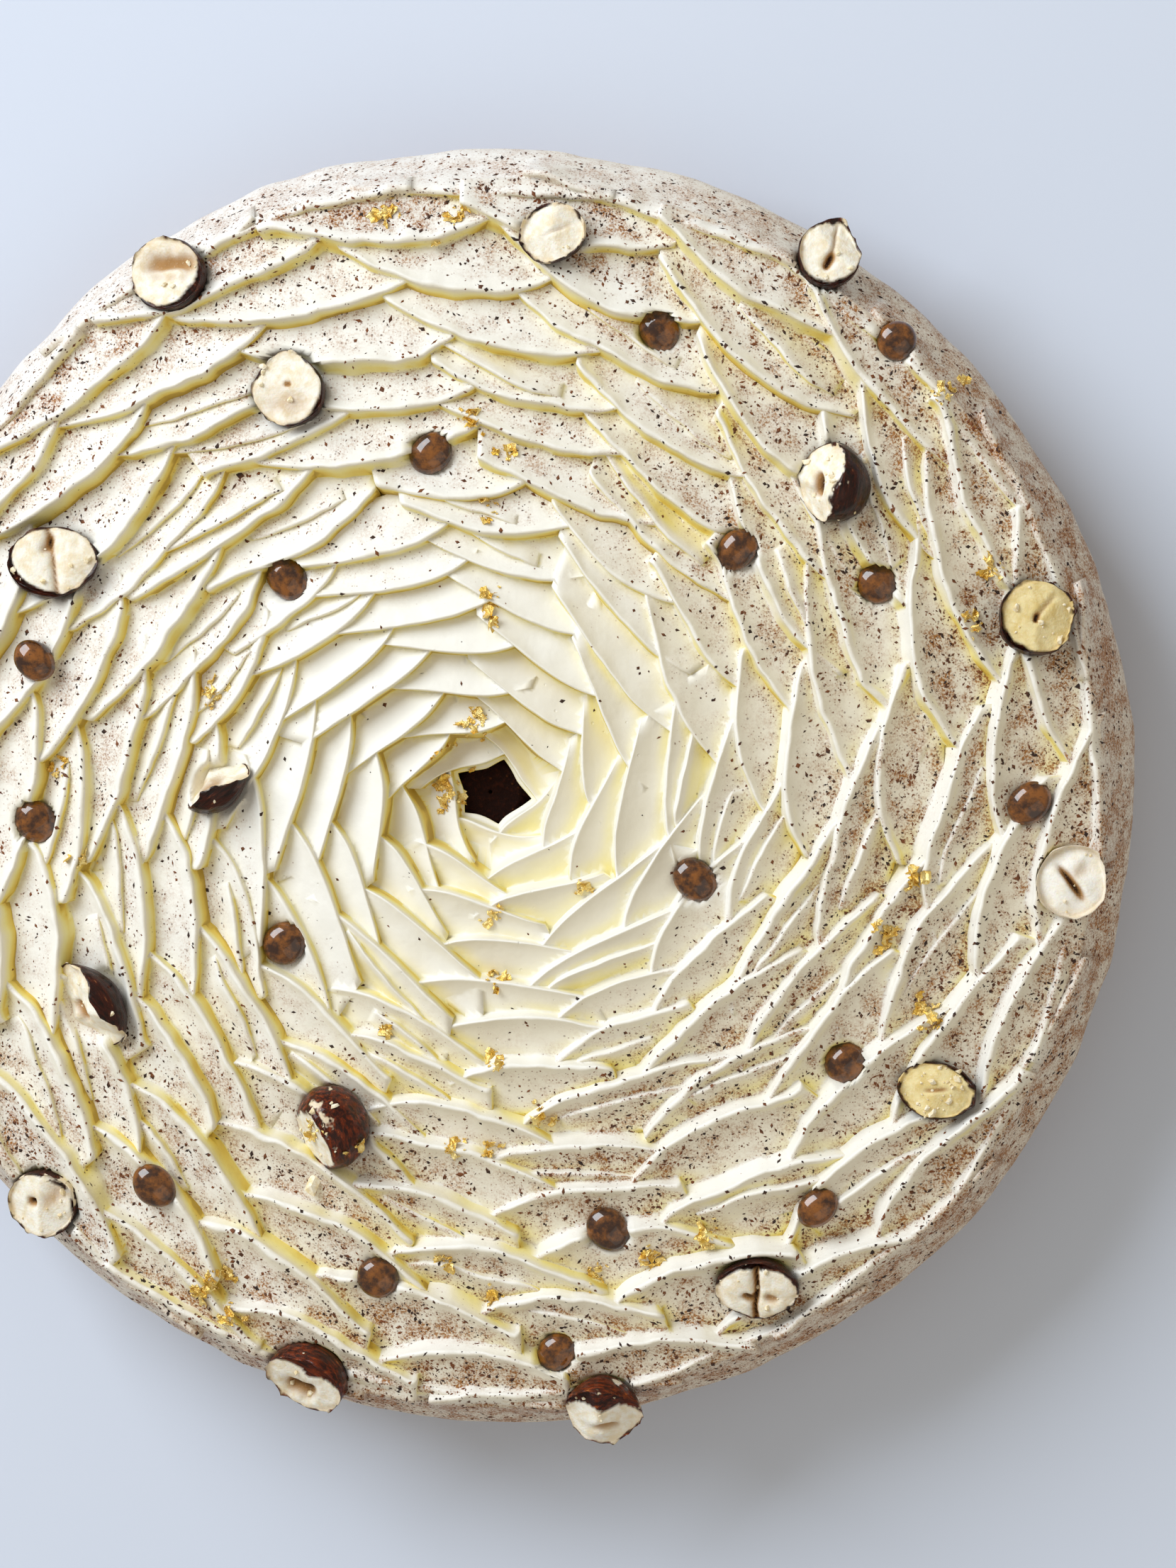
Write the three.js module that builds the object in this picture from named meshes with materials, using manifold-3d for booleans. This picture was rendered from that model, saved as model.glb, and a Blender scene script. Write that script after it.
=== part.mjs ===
// Praline tart with piped cream, in millimetres, +Z up. The origin lies on the flat underside,
// straight below the middle of the hole in the cream.
import * as THREE from "three";
import { mergeVertices } from "three/addons/utils/BufferGeometryUtils.js";
import Module from "manifold-3d";

const wasm = await Module();
wasm.setup();

const DEG = Math.PI / 180;
const GAP = 0.3;

// The crust is a round dish. The praline lies in it and rises as a low mound in the middle.
const ROUND_SEGMENTS = 40;
const SHELL = { radius: 110, height: 22, floor: 5, wall: 4, edge: 1.2 };
const MOUND = { foot: 9, shoulder: 8.6, top: 5.5, middle: 2, rise: 5.6, dent: 0.5 };

// The cream stands on crust and praline and hangs over the crust's rim all round. The petals
// stand on a bed, which lies bedDrop under their lips. Solids that reach down to lowest are cut
// off at the underside.
const CREAM = {
  holeRadius: 9.3,
  holeTop: 28.4,
  underside: 17.6,
  lowest: 14,
  widest: 22,
  outer: 114.8,
  outerWave: 0.35,
  undercut: 0.8,
  bedDrop: 6.6,
  bedSteps: 40,
};

// Plan width of the sloping outer side, a little broader on the right.
const SIDE = { mean: 8, swing: 0.4, broadAt: 0, bellyOut: 0.62, bellyDown: 7 };

// Rows of petals from the hole outwards: radius of the lips, number of petals, height of the
// lips, and the angle at which the row starts.
const ROWS = [
  { radius: 6.4, count: 5, height: 31, phase: -10 },
  { radius: 12.2, count: 7, height: 35.6, phase: 14 },
  { radius: 18.4, count: 9, height: 38, phase: 31 },
  { radius: 25, count: 10, height: 39.2, phase: 2 },
  { radius: 31.8, count: 11, height: 39.8, phase: 18 },
  { radius: 39, count: 13, height: 40, phase: 7 },
  { radius: 46.5, count: 15, height: 40, phase: 20 },
  { radius: 54.2, count: 15, height: 40, phase: 11 },
  { radius: 62.2, count: 16, height: 40, phase: 0 },
  { radius: 70.6, count: 18, height: 40, phase: 9 },
  { radius: 79.6, count: 20, height: 39.8, phase: 3 },
  { radius: 89.4, count: 21, height: 39.4, phase: 10 },
  { radius: 99.4, count: 21, height: 38.6, phase: 1 },
  { radius: 109, count: 21, height: 37, phase: 9 },
];

// One petal: its lip rises to a crest and then falls away outwards to a free end, which lies on
// the next petal of the same row. Lengths are shares of the row's pitch or of its spacing.
const PETAL = {
  span: 1.5,
  crestAt: 0.34,
  startFall: 0.45,
  endFall: 1.08,
  endPower: 2.2,
  endSink: 1.8,
  leastRise: 0.04,
  slope: 0.6,
  reach: 1.3,
  reachInSide: 0.66,
  rimFall: 0.32,
  rimSink: 1.6,
  depth: 9,
  tallest: 60,
};
const STATIONS = [0, 0.34, 0.6, 0.83, 1];
const UNEVEN = { along: 0.16, across: 0.9, length: 0.12, height: 0.45 };

// Toppings. Places are in millimetres from the middle of the hole, as seen from above.
// A nut piece is an egg of the given length and width with its tip towards turn. A cut takes off
// what lies above a plane through its middle, raised by keep. The cut side faces leaning degrees
// away from straight up, towards the angle facing. Its middle is rise above the cream under it.
const NUTS = [
  { at: [-56, 92.6], size: [14.6, 13.8], turn: 130, leaning: 20, facing: 140, hollow: 4.2 },
  { at: [12.6, 99.8], size: [12.4, 11], turn: 20, leaning: 10, facing: 110, hollow: 2 },
  { at: [61, 96.4], size: [13.6, 12.4], turn: 72, leaning: 24, facing: 55, tip: 0.5, rise: 4.4 },
  { at: [-34.3, 72.3], size: [14, 13.4], turn: 95, leaning: 12, facing: 120, tip: 0.4, hollow: 1.8 },
  { at: [61.8, 56.4], size: [14.4, 14.2], turn: 80, leaning: 36, facing: 175, keep: 2.5, rise: 3.6 },
  { at: [-76.4, 41.3], size: [16.4, 13], turn: 5, leaning: 14, facing: 70, hollow: 2 },
  { at: [98, 33], size: [14.4, 13.8], turn: 30, leaning: 20, facing: 45, hollow: 1.4, rise: 4 },
  { at: [-47.2, 2.1], size: [13.2, 10.4], turn: 35, leaning: 58, facing: 125, rise: 3 },
  { at: [104.1, -13.6], size: [13.4, 12.6], turn: 60, leaning: 8, facing: 40, cleft: 128, rise: 4 },
  { at: [-70.6, -37.6], size: [17.6, 12.6], turn: 130, leaning: 48, facing: 215, rise: 3.4 },
  { at: [80.4, -50.9], size: [14.4, 10.8], turn: 168, leaning: 8, facing: 60, hollow: 1.5 },
  { at: [-27.2, -58.6], size: [16.4, 14.4], turn: 75, leaning: 62, facing: 212, keep: 3, rise: 3.6 },
  { at: [-79.8, -74.2], size: [14.2, 13.4], turn: 40, leaning: 22, facing: 225, hollow: 1.8 },
  { at: [48.8, -86.9], size: [15, 12.4], turn: 0, leaning: 20, facing: 262, cleft: 88 },
  { at: [-32.6, -105.4], size: [16, 14.6], turn: 150, leaning: 44, facing: 240, hollow: 3.4, rise: 3.8 },
  { at: [21.4, -110.6], size: [14.2, 14.8], turn: 5, leaning: 46, facing: 265, keep: 1, rise: 3.8 },
];
const NUT = { tip: 0.12, tipPower: 1.5, keep: 0, rise: 2.8, around: 9, along: 6 };
const BOWL = { steep: 0.7, raised: 0.15, around: 7 };
const CLEFT = { longer: 1.2, width: 1.1, depth: 3 };

// Praline dots: place, and width in millimetres.
const DOTS = [
  [30.9, 82.6, 7.2], [72.6, 80.9, 7], [-9.3, 60.9, 7.6], [-35, 38.4, 7.4], [45, 44.3, 7.4],
  [69.3, 38.3, 7], [-80.4, -5.1, 7.6], [96.4, 0, 7.8], [37.5, -14.1, 7.8],
  [-35.6, -26.3, 7.8], [64, -46.6, 7.2], [-59, -69.9, 7.8], [59.4, -72.4, 7.2],
  [22.1, -76.8, 7.8], [-19, -86, 7.4], [12.6, -99.5, 7], [-79.9, 23.9, 7.4],
];
const DOT = { height: 4.4, lift: 0.4, around: 8, up: 4 };

// A topping lies in an upright well in the cream, a little larger than its outline.
const WELL = { margin: 0.35, above: 5, sides: 8 };

// Places of the larger bits of gold leaf and of a small chip of nut, all fused on the cream.
const GOLD = [
  [-2, 13.1], [-8.2, 1.4], [2.1, -20.7], [16.6, -16.2], [2.1, -32.5], [-17.2, -40.1],
  [2.1, -46.7], [9.7, -56], [-5.5, -62.5], [0.7, -62.9], [-6.9, -83], [1.4, -89.1],
  [-50.5, -88.5], [20.1, -84.6], [40.1, -77.4], [29.7, -81.9], [71.9, -22.9],
  [78.4, -37.7], [86.4, 31.1], [89.9, 41.5], [-4.9, 102.2], [-2, 67], [1.4, 36.6],
  [-48.4, 18.6], [-76, 4.9], [80.9, 71.9],
];
const LEAF = { length: 3.4, width: 2.4, thick: 0.9, lift: 0.1, smallest: 0.7, more: 0.6, tilt: 0.5 };
const CHIP = { at: [-30.4, -69.4], size: [4.2, 2.8, 1.8], turn: 130, lift: 0.3 };

const LOOKS = {
  crust: { color: 0xb98247, roughness: 0.85, metalness: 0 },
  praline: { color: 0x2c1509, roughness: 0.35, metalness: 0 },
  cream: { color: 0xf4f0e4, roughness: 0.5, metalness: 0 },
  nut: { color: 0xe0c796, roughness: 0.6, metalness: 0 },
  dot: { color: 0x5e3015, roughness: 0.25, metalness: 0 },
};

// A seeded draw between 0 and 1, the same numbers every time.
function drawer(seed) {
  let state = seed >>> 0;
  return () => {
    state = (Math.imul(state, 1664525) + 1013904223) >>> 0;
    return state / 4294967296;
  };
}

const spread = (draw, amount) => (2 * draw() - 1) * amount;
const isOutermost = (row) => row === ROWS.length - 1;
const union = (solids) => wasm.Manifold.union(solids);

function ringPoint(angle, radius, height) {
  return [radius * Math.cos(angle * DEG), radius * Math.sin(angle * DEG), height];
}

function solidFrom(points, faces) {
  const make = (list) =>
    new wasm.Manifold(
      new wasm.Mesh({
        numProp: 3,
        vertProperties: new Float32Array(points.flat()),
        triVerts: new Uint32Array(list.flat()),
      }),
    );
  const solid = make(faces);
  return solid.volume() < 0 ? make(faces.map(([a, b, c]) => [a, c, b])) : solid;
}

function solidOfGeometry(geometry) {
  const bare = geometry.clone();
  bare.deleteAttribute("normal");
  bare.deleteAttribute("uv");
  const merged = mergeVertices(bare, 1e-3);
  const at = merged.getAttribute("position");
  const points = Array.from({ length: at.count }, (_, i) => [at.getX(i), at.getY(i), at.getZ(i)]);
  const index = merged.index.array;
  const faces = [];
  for (let i = 0; i < index.length; i += 3) {
    const face = [index[i], index[i + 1], index[i + 2]];
    if (new Set(face).size === 3) faces.push(face);
  }
  return solidFrom(points, faces);
}

const moved = (geometry, matrix) => solidOfGeometry(geometry.clone().applyMatrix4(matrix));

// A turned solid: a profile of [radius, height] pairs that starts and ends on the axis.
function turned(profile) {
  const outline = profile.map(([radius, height]) => new THREE.Vector2(radius, height));
  const lathe = new THREE.LatheGeometry(outline, ROUND_SEGMENTS);
  return solidOfGeometry(lathe.rotateX(Math.PI / 2));
}

// Faces between rings of equally many points, from each ring to the next.
function bands(size, rings, closed) {
  const faces = [];
  for (let ring = 0; ring < (closed ? rings : rings - 1); ring++)
    for (let i = 0; i < size; i++) {
      const next = ((ring + 1) % rings) * size;
      const a = ring * size + i;
      const b = ring * size + ((i + 1) % size);
      faces.push([a, b, next + ((i + 1) % size)], [a, next + ((i + 1) % size), next + i]);
    }
  return faces;
}

// A closed solid through sections with equally many points.
function loft(sections) {
  const size = sections[0].length;
  const points = sections.flat();
  const faces = bands(size, sections.length, false);
  const last = points.length - size;
  for (let i = 1; i + 1 < size; i++) {
    faces.push([0, i + 1, i], [last, last + i, last + i + 1]);
  }
  return solidFrom(points, faces);
}

function largestBody(solid) {
  const bodies = solid.decompose();
  return bodies.reduce((best, body) => (body.volume() > best.volume() ? body : best));
}

function shellSolid() {
  const { radius, height, floor, wall, edge } = SHELL;
  return turned([
    [0, 0],
    [radius - edge, 0],
    [radius, edge],
    [radius, height],
    [radius - wall, height],
    [radius - wall, floor],
    [0, floor],
  ]);
}

function fillingSolid() {
  const { radius, height, floor, wall } = SHELL;
  const side = radius - wall - GAP;
  const top = height + MOUND.rise;
  return turned([
    [0, floor + GAP],
    [side, floor + GAP],
    [side, height],
    [MOUND.foot, height],
    [MOUND.shoulder, height + (2 / 3) * MOUND.rise],
    [MOUND.top, top],
    [MOUND.middle, top - MOUND.dent],
    [0, top - MOUND.dent],
  ]);
}

function outerRadius(angle) {
  const wave = Math.sin(7 * angle * DEG) + 0.6 * Math.sin(17 * angle * DEG + 1);
  return CREAM.outer + CREAM.outerWave * wave;
}

function sideWidth(angle) {
  return SIDE.mean + SIDE.swing * Math.cos((angle - SIDE.broadAt) * DEG);
}

function rowSpacing(row) {
  return isOutermost(row) ? SIDE.mean : ROWS[row + 1].radius - ROWS[row].radius;
}

function petalsOfRow(row) {
  const { radius, count, height, phase } = ROWS[row];
  const draw = drawer(911 + 77 * row);
  const pitch = 360 / count;
  return Array.from({ length: count }, (_, number) => {
    const start = phase + (number + spread(draw, UNEVEN.along)) * pitch;
    const span = pitch * (PETAL.span + spread(draw, UNEVEN.length));
    const crest = radius + spread(draw, UNEVEN.across);
    const lip = height + spread(draw, UNEVEN.height);
    return { row, start, span, crest, lip, spacing: rowSpacing(row) };
  });
}

// Point of the lip at a share of the petal's length, as angle and radius.
function lipAt(petal, share) {
  const before = Math.max(0, 1 - share / PETAL.crestAt);
  const after = Math.max(0, (share - PETAL.crestAt) / (1 - PETAL.crestAt));
  const angle = petal.start + share * petal.span;
  const out = PETAL.startFall * before ** 2 + PETAL.endFall * after ** PETAL.endPower;
  if (!isOutermost(petal.row)) return { angle, radius: petal.crest + out * petal.spacing };
  const side = sideWidth(angle);
  const uneven = petal.crest - ROWS[petal.row].radius;
  return { angle, radius: outerRadius(angle) - side + uneven + PETAL.rimFall * out * side };
}

// The petal's face is a plane through the crest of the lip: it falls outwards and rises a little
// along the petal, so that the free end stands clear of the next petal.
function facePlane(petal) {
  const crest = lipAt(petal, PETAL.crestAt);
  const end = lipAt(petal, 1);
  const turn = (end.angle - crest.angle) * DEG;
  const outwards = end.radius * Math.cos(turn) - crest.radius;
  const along = end.radius * Math.sin(turn);
  const rise = Math.max(PETAL.leastRise, (PETAL.slope * outwards - PETAL.endSink) / along);
  const [x, y] = ringPoint(crest.angle, crest.radius, 0);
  const [cos, sin] = ringPoint(crest.angle, 1, 0);
  const gradient = [-PETAL.slope * cos - rise * sin, -PETAL.slope * sin + rise * cos];
  return { gradient, level: petal.lip - gradient[0] * x - gradient[1] * y };
}

function innerSection(petal, lip) {
  const bottom = petal.row === 0 ? CREAM.holeTop - 1 : petal.lip - PETAL.depth;
  const most = outerRadius(lip.angle) - PETAL.reachInSide * sideWidth(lip.angle) - lip.radius;
  const reach = Math.min(PETAL.reach * petal.spacing, most);
  return [
    [0, PETAL.tallest],
    [0, bottom],
    [reach, bottom],
    [reach, PETAL.tallest],
  ];
}

function outerSection(petal, lip, share) {
  const foot = outerRadius(lip.angle) - lip.radius;
  return [
    [0, petal.lip - PETAL.rimSink * Math.max(0, share - PETAL.crestAt)],
    [0, CREAM.lowest],
    [foot - CREAM.undercut, CREAM.lowest],
    [foot, CREAM.widest],
    [SIDE.bellyOut * foot, petal.lip - SIDE.bellyDown],
  ];
}

function petalSolid(petal) {
  const outermost = isOutermost(petal.row);
  const sections = STATIONS.map((share) => {
    const lip = lipAt(petal, share);
    const section = outermost ? outerSection(petal, lip, share) : innerSection(petal, lip);
    return section.map(([out, height]) => ringPoint(lip.angle, lip.radius + out, height));
  });
  if (outermost) return loft(sections);
  const { gradient, level } = facePlane(petal);
  const steep = Math.hypot(gradient[0], gradient[1], 1);
  const down = [gradient[0] / steep, gradient[1] / steep, -1 / steep];
  return loft(sections).trimByPlane(down, -level / steep);
}

// The bed under the petals, which reaches out into the outermost petals.
function bedSolid() {
  const inner = CREAM.holeRadius - 1;
  const rows = ROWS.filter((_, row) => isOutermost(row) || (row > 0 && row % 2 === 0));
  const rings = Array.from({ length: CREAM.bedSteps }, (_, i) => {
    const angle = (i * 360) / CREAM.bedSteps;
    const outer = outerRadius(angle) - 2;
    const rim = outerRadius(angle) - sideWidth(angle);
    const profile = [
      [inner, CREAM.lowest],
      [inner, CREAM.holeTop + 0.6],
      ...rows.map((row) => [Math.min(row.radius + 6, rim + 0.5), row.height - CREAM.bedDrop]),
      [outer, CREAM.widest - 0.5],
      [outer - 0.4, CREAM.lowest],
    ];
    return profile.map(([radius, height]) => ringPoint(angle, radius, height));
  });
  return solidFrom(rings.flat(), bands(rings[0].length, rings.length, true));
}

// All that the cream leaves free below and in the middle.
function creamClearance() {
  const rim = SHELL.radius + GAP;
  const top = SHELL.height + GAP;
  const beyond = CREAM.outer + 9;
  return turned([
    [0, 0],
    [beyond, 0],
    [beyond, CREAM.underside],
    [rim, CREAM.underside],
    [rim, top],
    [CREAM.holeRadius, top],
    [CREAM.holeRadius, CREAM.holeTop],
    [0, CREAM.holeTop],
  ]);
}

function plainCreamSolid() {
  const petals = ROWS.flatMap((_, row) => petalsOfRow(row)).map(petalSolid);
  return largestBody(union([bedSolid(), ...petals]).subtract(creamClearance()));
}

// Height of the topmost face of a solid over a place.
function heightFinder(solid) {
  const { vertProperties, triVerts, numProp } = solid.getMesh();
  const vertex = (i) => {
    const at = triVerts[i] * numProp;
    return [vertProperties[at], vertProperties[at + 1], vertProperties[at + 2]];
  };
  return (x, y) => {
    let best = 0;
    for (let i = 0; i < triVerts.length; i += 3) {
      const [a, b, c] = [vertex(i), vertex(i + 1), vertex(i + 2)];
      const area = (b[0] - a[0]) * (c[1] - a[1]) - (c[0] - a[0]) * (b[1] - a[1]);
      if (Math.abs(area) < 1e-6) continue;
      const u = ((x - a[0]) * (c[1] - a[1]) - (c[0] - a[0]) * (y - a[1])) / area;
      const v = ((b[0] - a[0]) * (y - a[1]) - (x - a[0]) * (b[1] - a[1])) / area;
      if (u < 0 || v < 0 || u + v > 1) continue;
      best = Math.max(best, a[2] + u * (b[2] - a[2]) + v * (c[2] - a[2]));
    }
    return best;
  };
}

// Mean height of the top of the cream under a topping, without what lies beside the rim.
function bedHeight(heightAt, [x, y], half) {
  const around = [[0, 0], [half, 0], [-half, 0], [0, half], [0, -half]];
  const heights = around.map(([dx, dy]) => heightAt(x + dx, y + dy));
  const onTop = heights.filter((height) => height > CREAM.holeTop);
  return onTop.reduce((sum, height) => sum + height, 0) / onTop.length;
}

function eggGeometry([length, width], tip) {
  const egg = new THREE.SphereGeometry(1, NUT.around, NUT.along).rotateZ(-Math.PI / 2);
  const at = egg.getAttribute("position");
  for (let i = 0; i < at.count; i++) {
    const slim = 1 - tip * Math.max(0, at.getX(i)) ** NUT.tipPower;
    at.setY(i, at.getY(i) * slim);
    at.setZ(i, at.getZ(i) * slim);
  }
  return egg.scale(length / 2, width / 2, width / 2);
}

function nutPlace(nut, bed) {
  const hinge = new THREE.Vector3(...ringPoint(nut.facing + 90, 1, 0));
  return new THREE.Matrix4()
    .makeTranslation(nut.at[0], nut.at[1], bed + (nut.rise ?? NUT.rise))
    .multiply(new THREE.Matrix4().makeRotationAxis(hinge, nut.leaning * DEG))
    .multiply(new THREE.Matrix4().makeRotationZ(nut.turn * DEG));
}

// The nut's egg up to its cut side.
function cutEgg(nut, place) {
  const egg = moved(eggGeometry(nut.size, nut.tip ?? NUT.tip), place);
  const facing = new THREE.Vector3(0, 0, 1).transformDirection(place);
  const middle = new THREE.Vector3().setFromMatrixPosition(place);
  const level = facing.dot(middle) + (nut.keep ?? NUT.keep);
  return egg.trimByPlane(facing.negate().toArray(), -level);
}

function nutSolid(nut, place) {
  const keep = nut.keep ?? NUT.keep;
  let piece = cutEgg(nut, place);
  if (nut.hollow) {
    const bowl = new THREE.ConeGeometry(nut.hollow, nut.hollow * BOWL.steep, BOWL.around);
    bowl.rotateX(-Math.PI / 2).translate(0, 0, keep - BOWL.raised * nut.hollow);
    piece = piece.subtract(moved(bowl, place));
  }
  if (nut.cleft !== undefined) {
    const wedge = new THREE.BoxGeometry(nut.size[0] * CLEFT.longer, CLEFT.width, 2 * CLEFT.depth);
    wedge.rotateZ((nut.cleft - nut.turn) * DEG).translate(0, 0, keep);
    piece = piece.subtract(moved(wedge, place));
  }
  return largestBody(piece);
}

function wellGeometry(half, low, high) {
  const wall = new THREE.CylinderGeometry(1, 1, high - low, WELL.sides).rotateX(Math.PI / 2);
  const grown = half.map((value) => value / Math.cos(Math.PI / WELL.sides) + WELL.margin);
  return wall.scale(grown[0], grown[1], 1).translate(0, 0, (low + high) / 2);
}

function nutWell(nut, place, { min, max }) {
  const [length, width] = nut.size;
  const axis = new THREE.Vector3(1, 0, 0).transformDirection(place);
  const flat = Math.hypot(axis.x, axis.y);
  const half = Math.hypot((length / 2) * flat, (width / 2) * axis.z);
  const room = wellGeometry([half, width / 2], min[2] - WELL.margin, max[2] + WELL.above);
  room.rotateZ(Math.atan2(axis.y, axis.x));
  return moved(room, new THREE.Matrix4().makeTranslation(nut.at[0], nut.at[1], 0));
}

function nutWithWell(nut, heightAt) {
  const place = nutPlace(nut, bedHeight(heightAt, nut.at, nut.size[1] / 3));
  const piece = nutSolid(nut, place);
  return { piece, room: nutWell(nut, place, piece.boundingBox()) };
}

function dotWithWell([x, y, width], heightAt) {
  const height = bedHeight(heightAt, [x, y], width / 4) + DOT.lift;
  const place = new THREE.Matrix4().makeTranslation(x, y, height);
  const ball = new THREE.SphereGeometry(1, DOT.around, DOT.up).rotateX(Math.PI / 2);
  ball.scale(width / 2, width / 2, DOT.height / 2);
  const low = -DOT.height / 2 - WELL.margin;
  const room = wellGeometry([width / 2, width / 2], low, DOT.height / 2 + WELL.above);
  return { piece: moved(ball, place), room: moved(room, place) };
}

function leafSolid([x, y], heightAt, draw) {
  const size = LEAF.smallest + LEAF.more * draw();
  const leaf = new THREE.CylinderGeometry(size, size, LEAF.thick, 3).rotateX(Math.PI / 2);
  leaf.scale(LEAF.length / 2, LEAF.width / 2, 1);
  leaf.rotateX(spread(draw, LEAF.tilt)).rotateY(spread(draw, LEAF.tilt)).rotateZ(draw() * Math.PI);
  const height = heightAt(x, y) + LEAF.lift;
  return moved(leaf, new THREE.Matrix4().makeTranslation(x, y, height));
}

function chipSolid(heightAt) {
  const [x, y] = CHIP.at;
  const chip = new THREE.BoxGeometry(...CHIP.size).rotateZ(CHIP.turn * DEG);
  return moved(chip, new THREE.Matrix4().makeTranslation(x, y, heightAt(x, y) + CHIP.lift));
}

function meshOf(solid, name, look) {
  const { vertProperties, triVerts, numProp, numVert } = solid.getMesh();
  const flat = new Float32Array(numVert * 3);
  for (let i = 0; i < numVert; i++)
    flat.set(vertProperties.subarray(i * numProp, i * numProp + 3), i * 3);
  const geometry = new THREE.BufferGeometry();
  geometry.setAttribute("position", new THREE.BufferAttribute(flat, 3));
  geometry.setIndex(new THREE.BufferAttribute(triVerts, 1));
  geometry.computeVertexNormals();
  const mesh = new THREE.Mesh(geometry, new THREE.MeshStandardMaterial(look));
  mesh.name = name;
  return mesh;
}

const plainCream = plainCreamSolid();
const heightAt = heightFinder(plainCream);
const nuts = NUTS.map((nut) => nutWithWell(nut, heightAt));
const dots = DOTS.map((dot) => dotWithWell(dot, heightAt));
const drawLeaf = drawer(5);
const leaves = GOLD.map((place) => leafSolid(place, heightAt, drawLeaf));
const rooms = union([...nuts, ...dots].map(({ room }) => room));
const cream = largestBody(union([plainCream, ...leaves, chipSolid(heightAt)]).subtract(rooms));

const numbered = (name, index) => `${name}_${String(index + 1).padStart(2, "0")}`;
const group = new THREE.Group();
group.add(meshOf(shellSolid(), "tart_shell", LOOKS.crust));
group.add(meshOf(fillingSolid(), "praline_filling", LOOKS.praline));
group.add(meshOf(cream, "piped_cream", LOOKS.cream));
nuts.forEach(({ piece }, i) => group.add(meshOf(piece, numbered("hazelnut", i), LOOKS.nut)));
dots.forEach(({ piece }, i) => group.add(meshOf(piece, numbered("praline_dot", i), LOOKS.dot)));

export default group;
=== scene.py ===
import math

import bmesh
import bpy
import numpy as np
from mathutils import Matrix, Vector
from mathutils.bvhtree import BVHTree


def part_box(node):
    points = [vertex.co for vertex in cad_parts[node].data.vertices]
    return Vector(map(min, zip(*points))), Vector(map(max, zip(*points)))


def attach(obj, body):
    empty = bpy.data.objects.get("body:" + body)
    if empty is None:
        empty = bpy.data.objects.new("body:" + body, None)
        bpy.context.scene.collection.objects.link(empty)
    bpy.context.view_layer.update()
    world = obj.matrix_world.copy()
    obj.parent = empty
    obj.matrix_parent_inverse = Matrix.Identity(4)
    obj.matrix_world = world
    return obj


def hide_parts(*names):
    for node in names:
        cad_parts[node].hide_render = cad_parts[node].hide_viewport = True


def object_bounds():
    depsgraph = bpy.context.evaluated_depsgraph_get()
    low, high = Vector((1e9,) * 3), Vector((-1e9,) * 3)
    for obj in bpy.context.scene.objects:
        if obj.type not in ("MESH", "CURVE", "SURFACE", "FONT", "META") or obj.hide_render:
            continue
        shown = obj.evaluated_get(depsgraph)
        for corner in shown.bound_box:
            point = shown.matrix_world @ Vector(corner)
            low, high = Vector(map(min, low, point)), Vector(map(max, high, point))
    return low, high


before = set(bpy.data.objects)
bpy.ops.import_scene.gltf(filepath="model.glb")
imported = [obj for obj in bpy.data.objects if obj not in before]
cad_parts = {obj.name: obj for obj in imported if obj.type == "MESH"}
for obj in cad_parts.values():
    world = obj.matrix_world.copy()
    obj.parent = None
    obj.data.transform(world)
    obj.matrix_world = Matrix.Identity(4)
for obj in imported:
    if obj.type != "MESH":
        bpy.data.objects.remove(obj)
cad_low, cad_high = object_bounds()

# Lengths are in millimetres and angles in degrees, and a mesh is scaled to metres when it is made.
MM = 0.001

# The crust, the mound of praline under the hole, the cream, its outer side and the gap between
# bodies, all as in the solid model.
SHELL = dict(radius=110, height=22, floor=5, wall=4, edge=1.2)
MOUND = dict(foot=9, shoulder=8.6, top=5.5, middle=2, rise=5.6, dent=0.5)
GAP = 0.3
CREAM = dict(
    hole_radius=9.3,
    hole_top=28.4,
    underside=17.6,
    widest=22,
    outer=114.8,
    wave=0.35,
    undercut=0.8,
    bed_drop=6.6,
    bed_steps=160,
)
SIDE = dict(mean=8, swing=0.4, belly_out=0.62, belly_down=7)

# Rows of petals from the hole outwards: radius of the lips, number of petals, height, start angle.
ROWS = [
    (6.4, 5, 31, -10),
    (12.2, 7, 35.6, 14),
    (18.4, 9, 38, 31),
    (25, 10, 39.2, 2),
    (31.8, 11, 39.8, 18),
    (39, 13, 40, 7),
    (46.5, 15, 40, 20),
    (54.2, 15, 40, 11),
    (62.2, 16, 40, 0),
    (70.6, 18, 40, 9),
    (79.6, 20, 39.8, 3),
    (89.4, 21, 39.4, 10),
    (99.4, 21, 38.6, 1),
    (109, 21, 37, 9),
]
OUTERMOST = len(ROWS) - 1

# A petal's run: shares of its length, of the step to the next row or of the side's width, the
# slopes of its face, and lengths.
PETAL = dict(
    span=1.5,
    crest_at=0.34,
    start_fall=0.45,
    end_fall=1.08,
    end_power=2.2,
    end_sink=1.8,
    least_rise=0.04,
    slope=0.6,
    reach=1.3,
    reach_in_side=0.66,
    rim_fall=0.32,
    rim_sink=1.6,
    depth=9,
)
# How far the draws move a petal along and across its row, and change its length and height.
UNEVEN = dict(along=0.16, across=0.9, length=0.12, height=0.45)

# Where the seeds of the draws begin.
SEEDS = dict(petals=911, ends=40000, folds=3000, nuts=300, specks=41, gold=12, crumbs=77)


# ---- numbers -------------------------------------------------------------------------------


def drawer(seed):
    """A seeded draw between 0 and 1, the same numbers every time."""
    state = seed

    def draw():
        nonlocal state
        state = (state * 1664525 + 1013904223) % 2**32
        return state / 2**32

    return draw


def spread(draw, amount):
    return (2 * draw() - 1) * amount


def blend_between(value, low, high):
    """0 below low, 1 above high and smooth between them."""
    share = np.clip((np.asarray(value, float) - low) / (high - low), 0, 1)
    return share * share * (3 - 2 * share)


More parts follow.
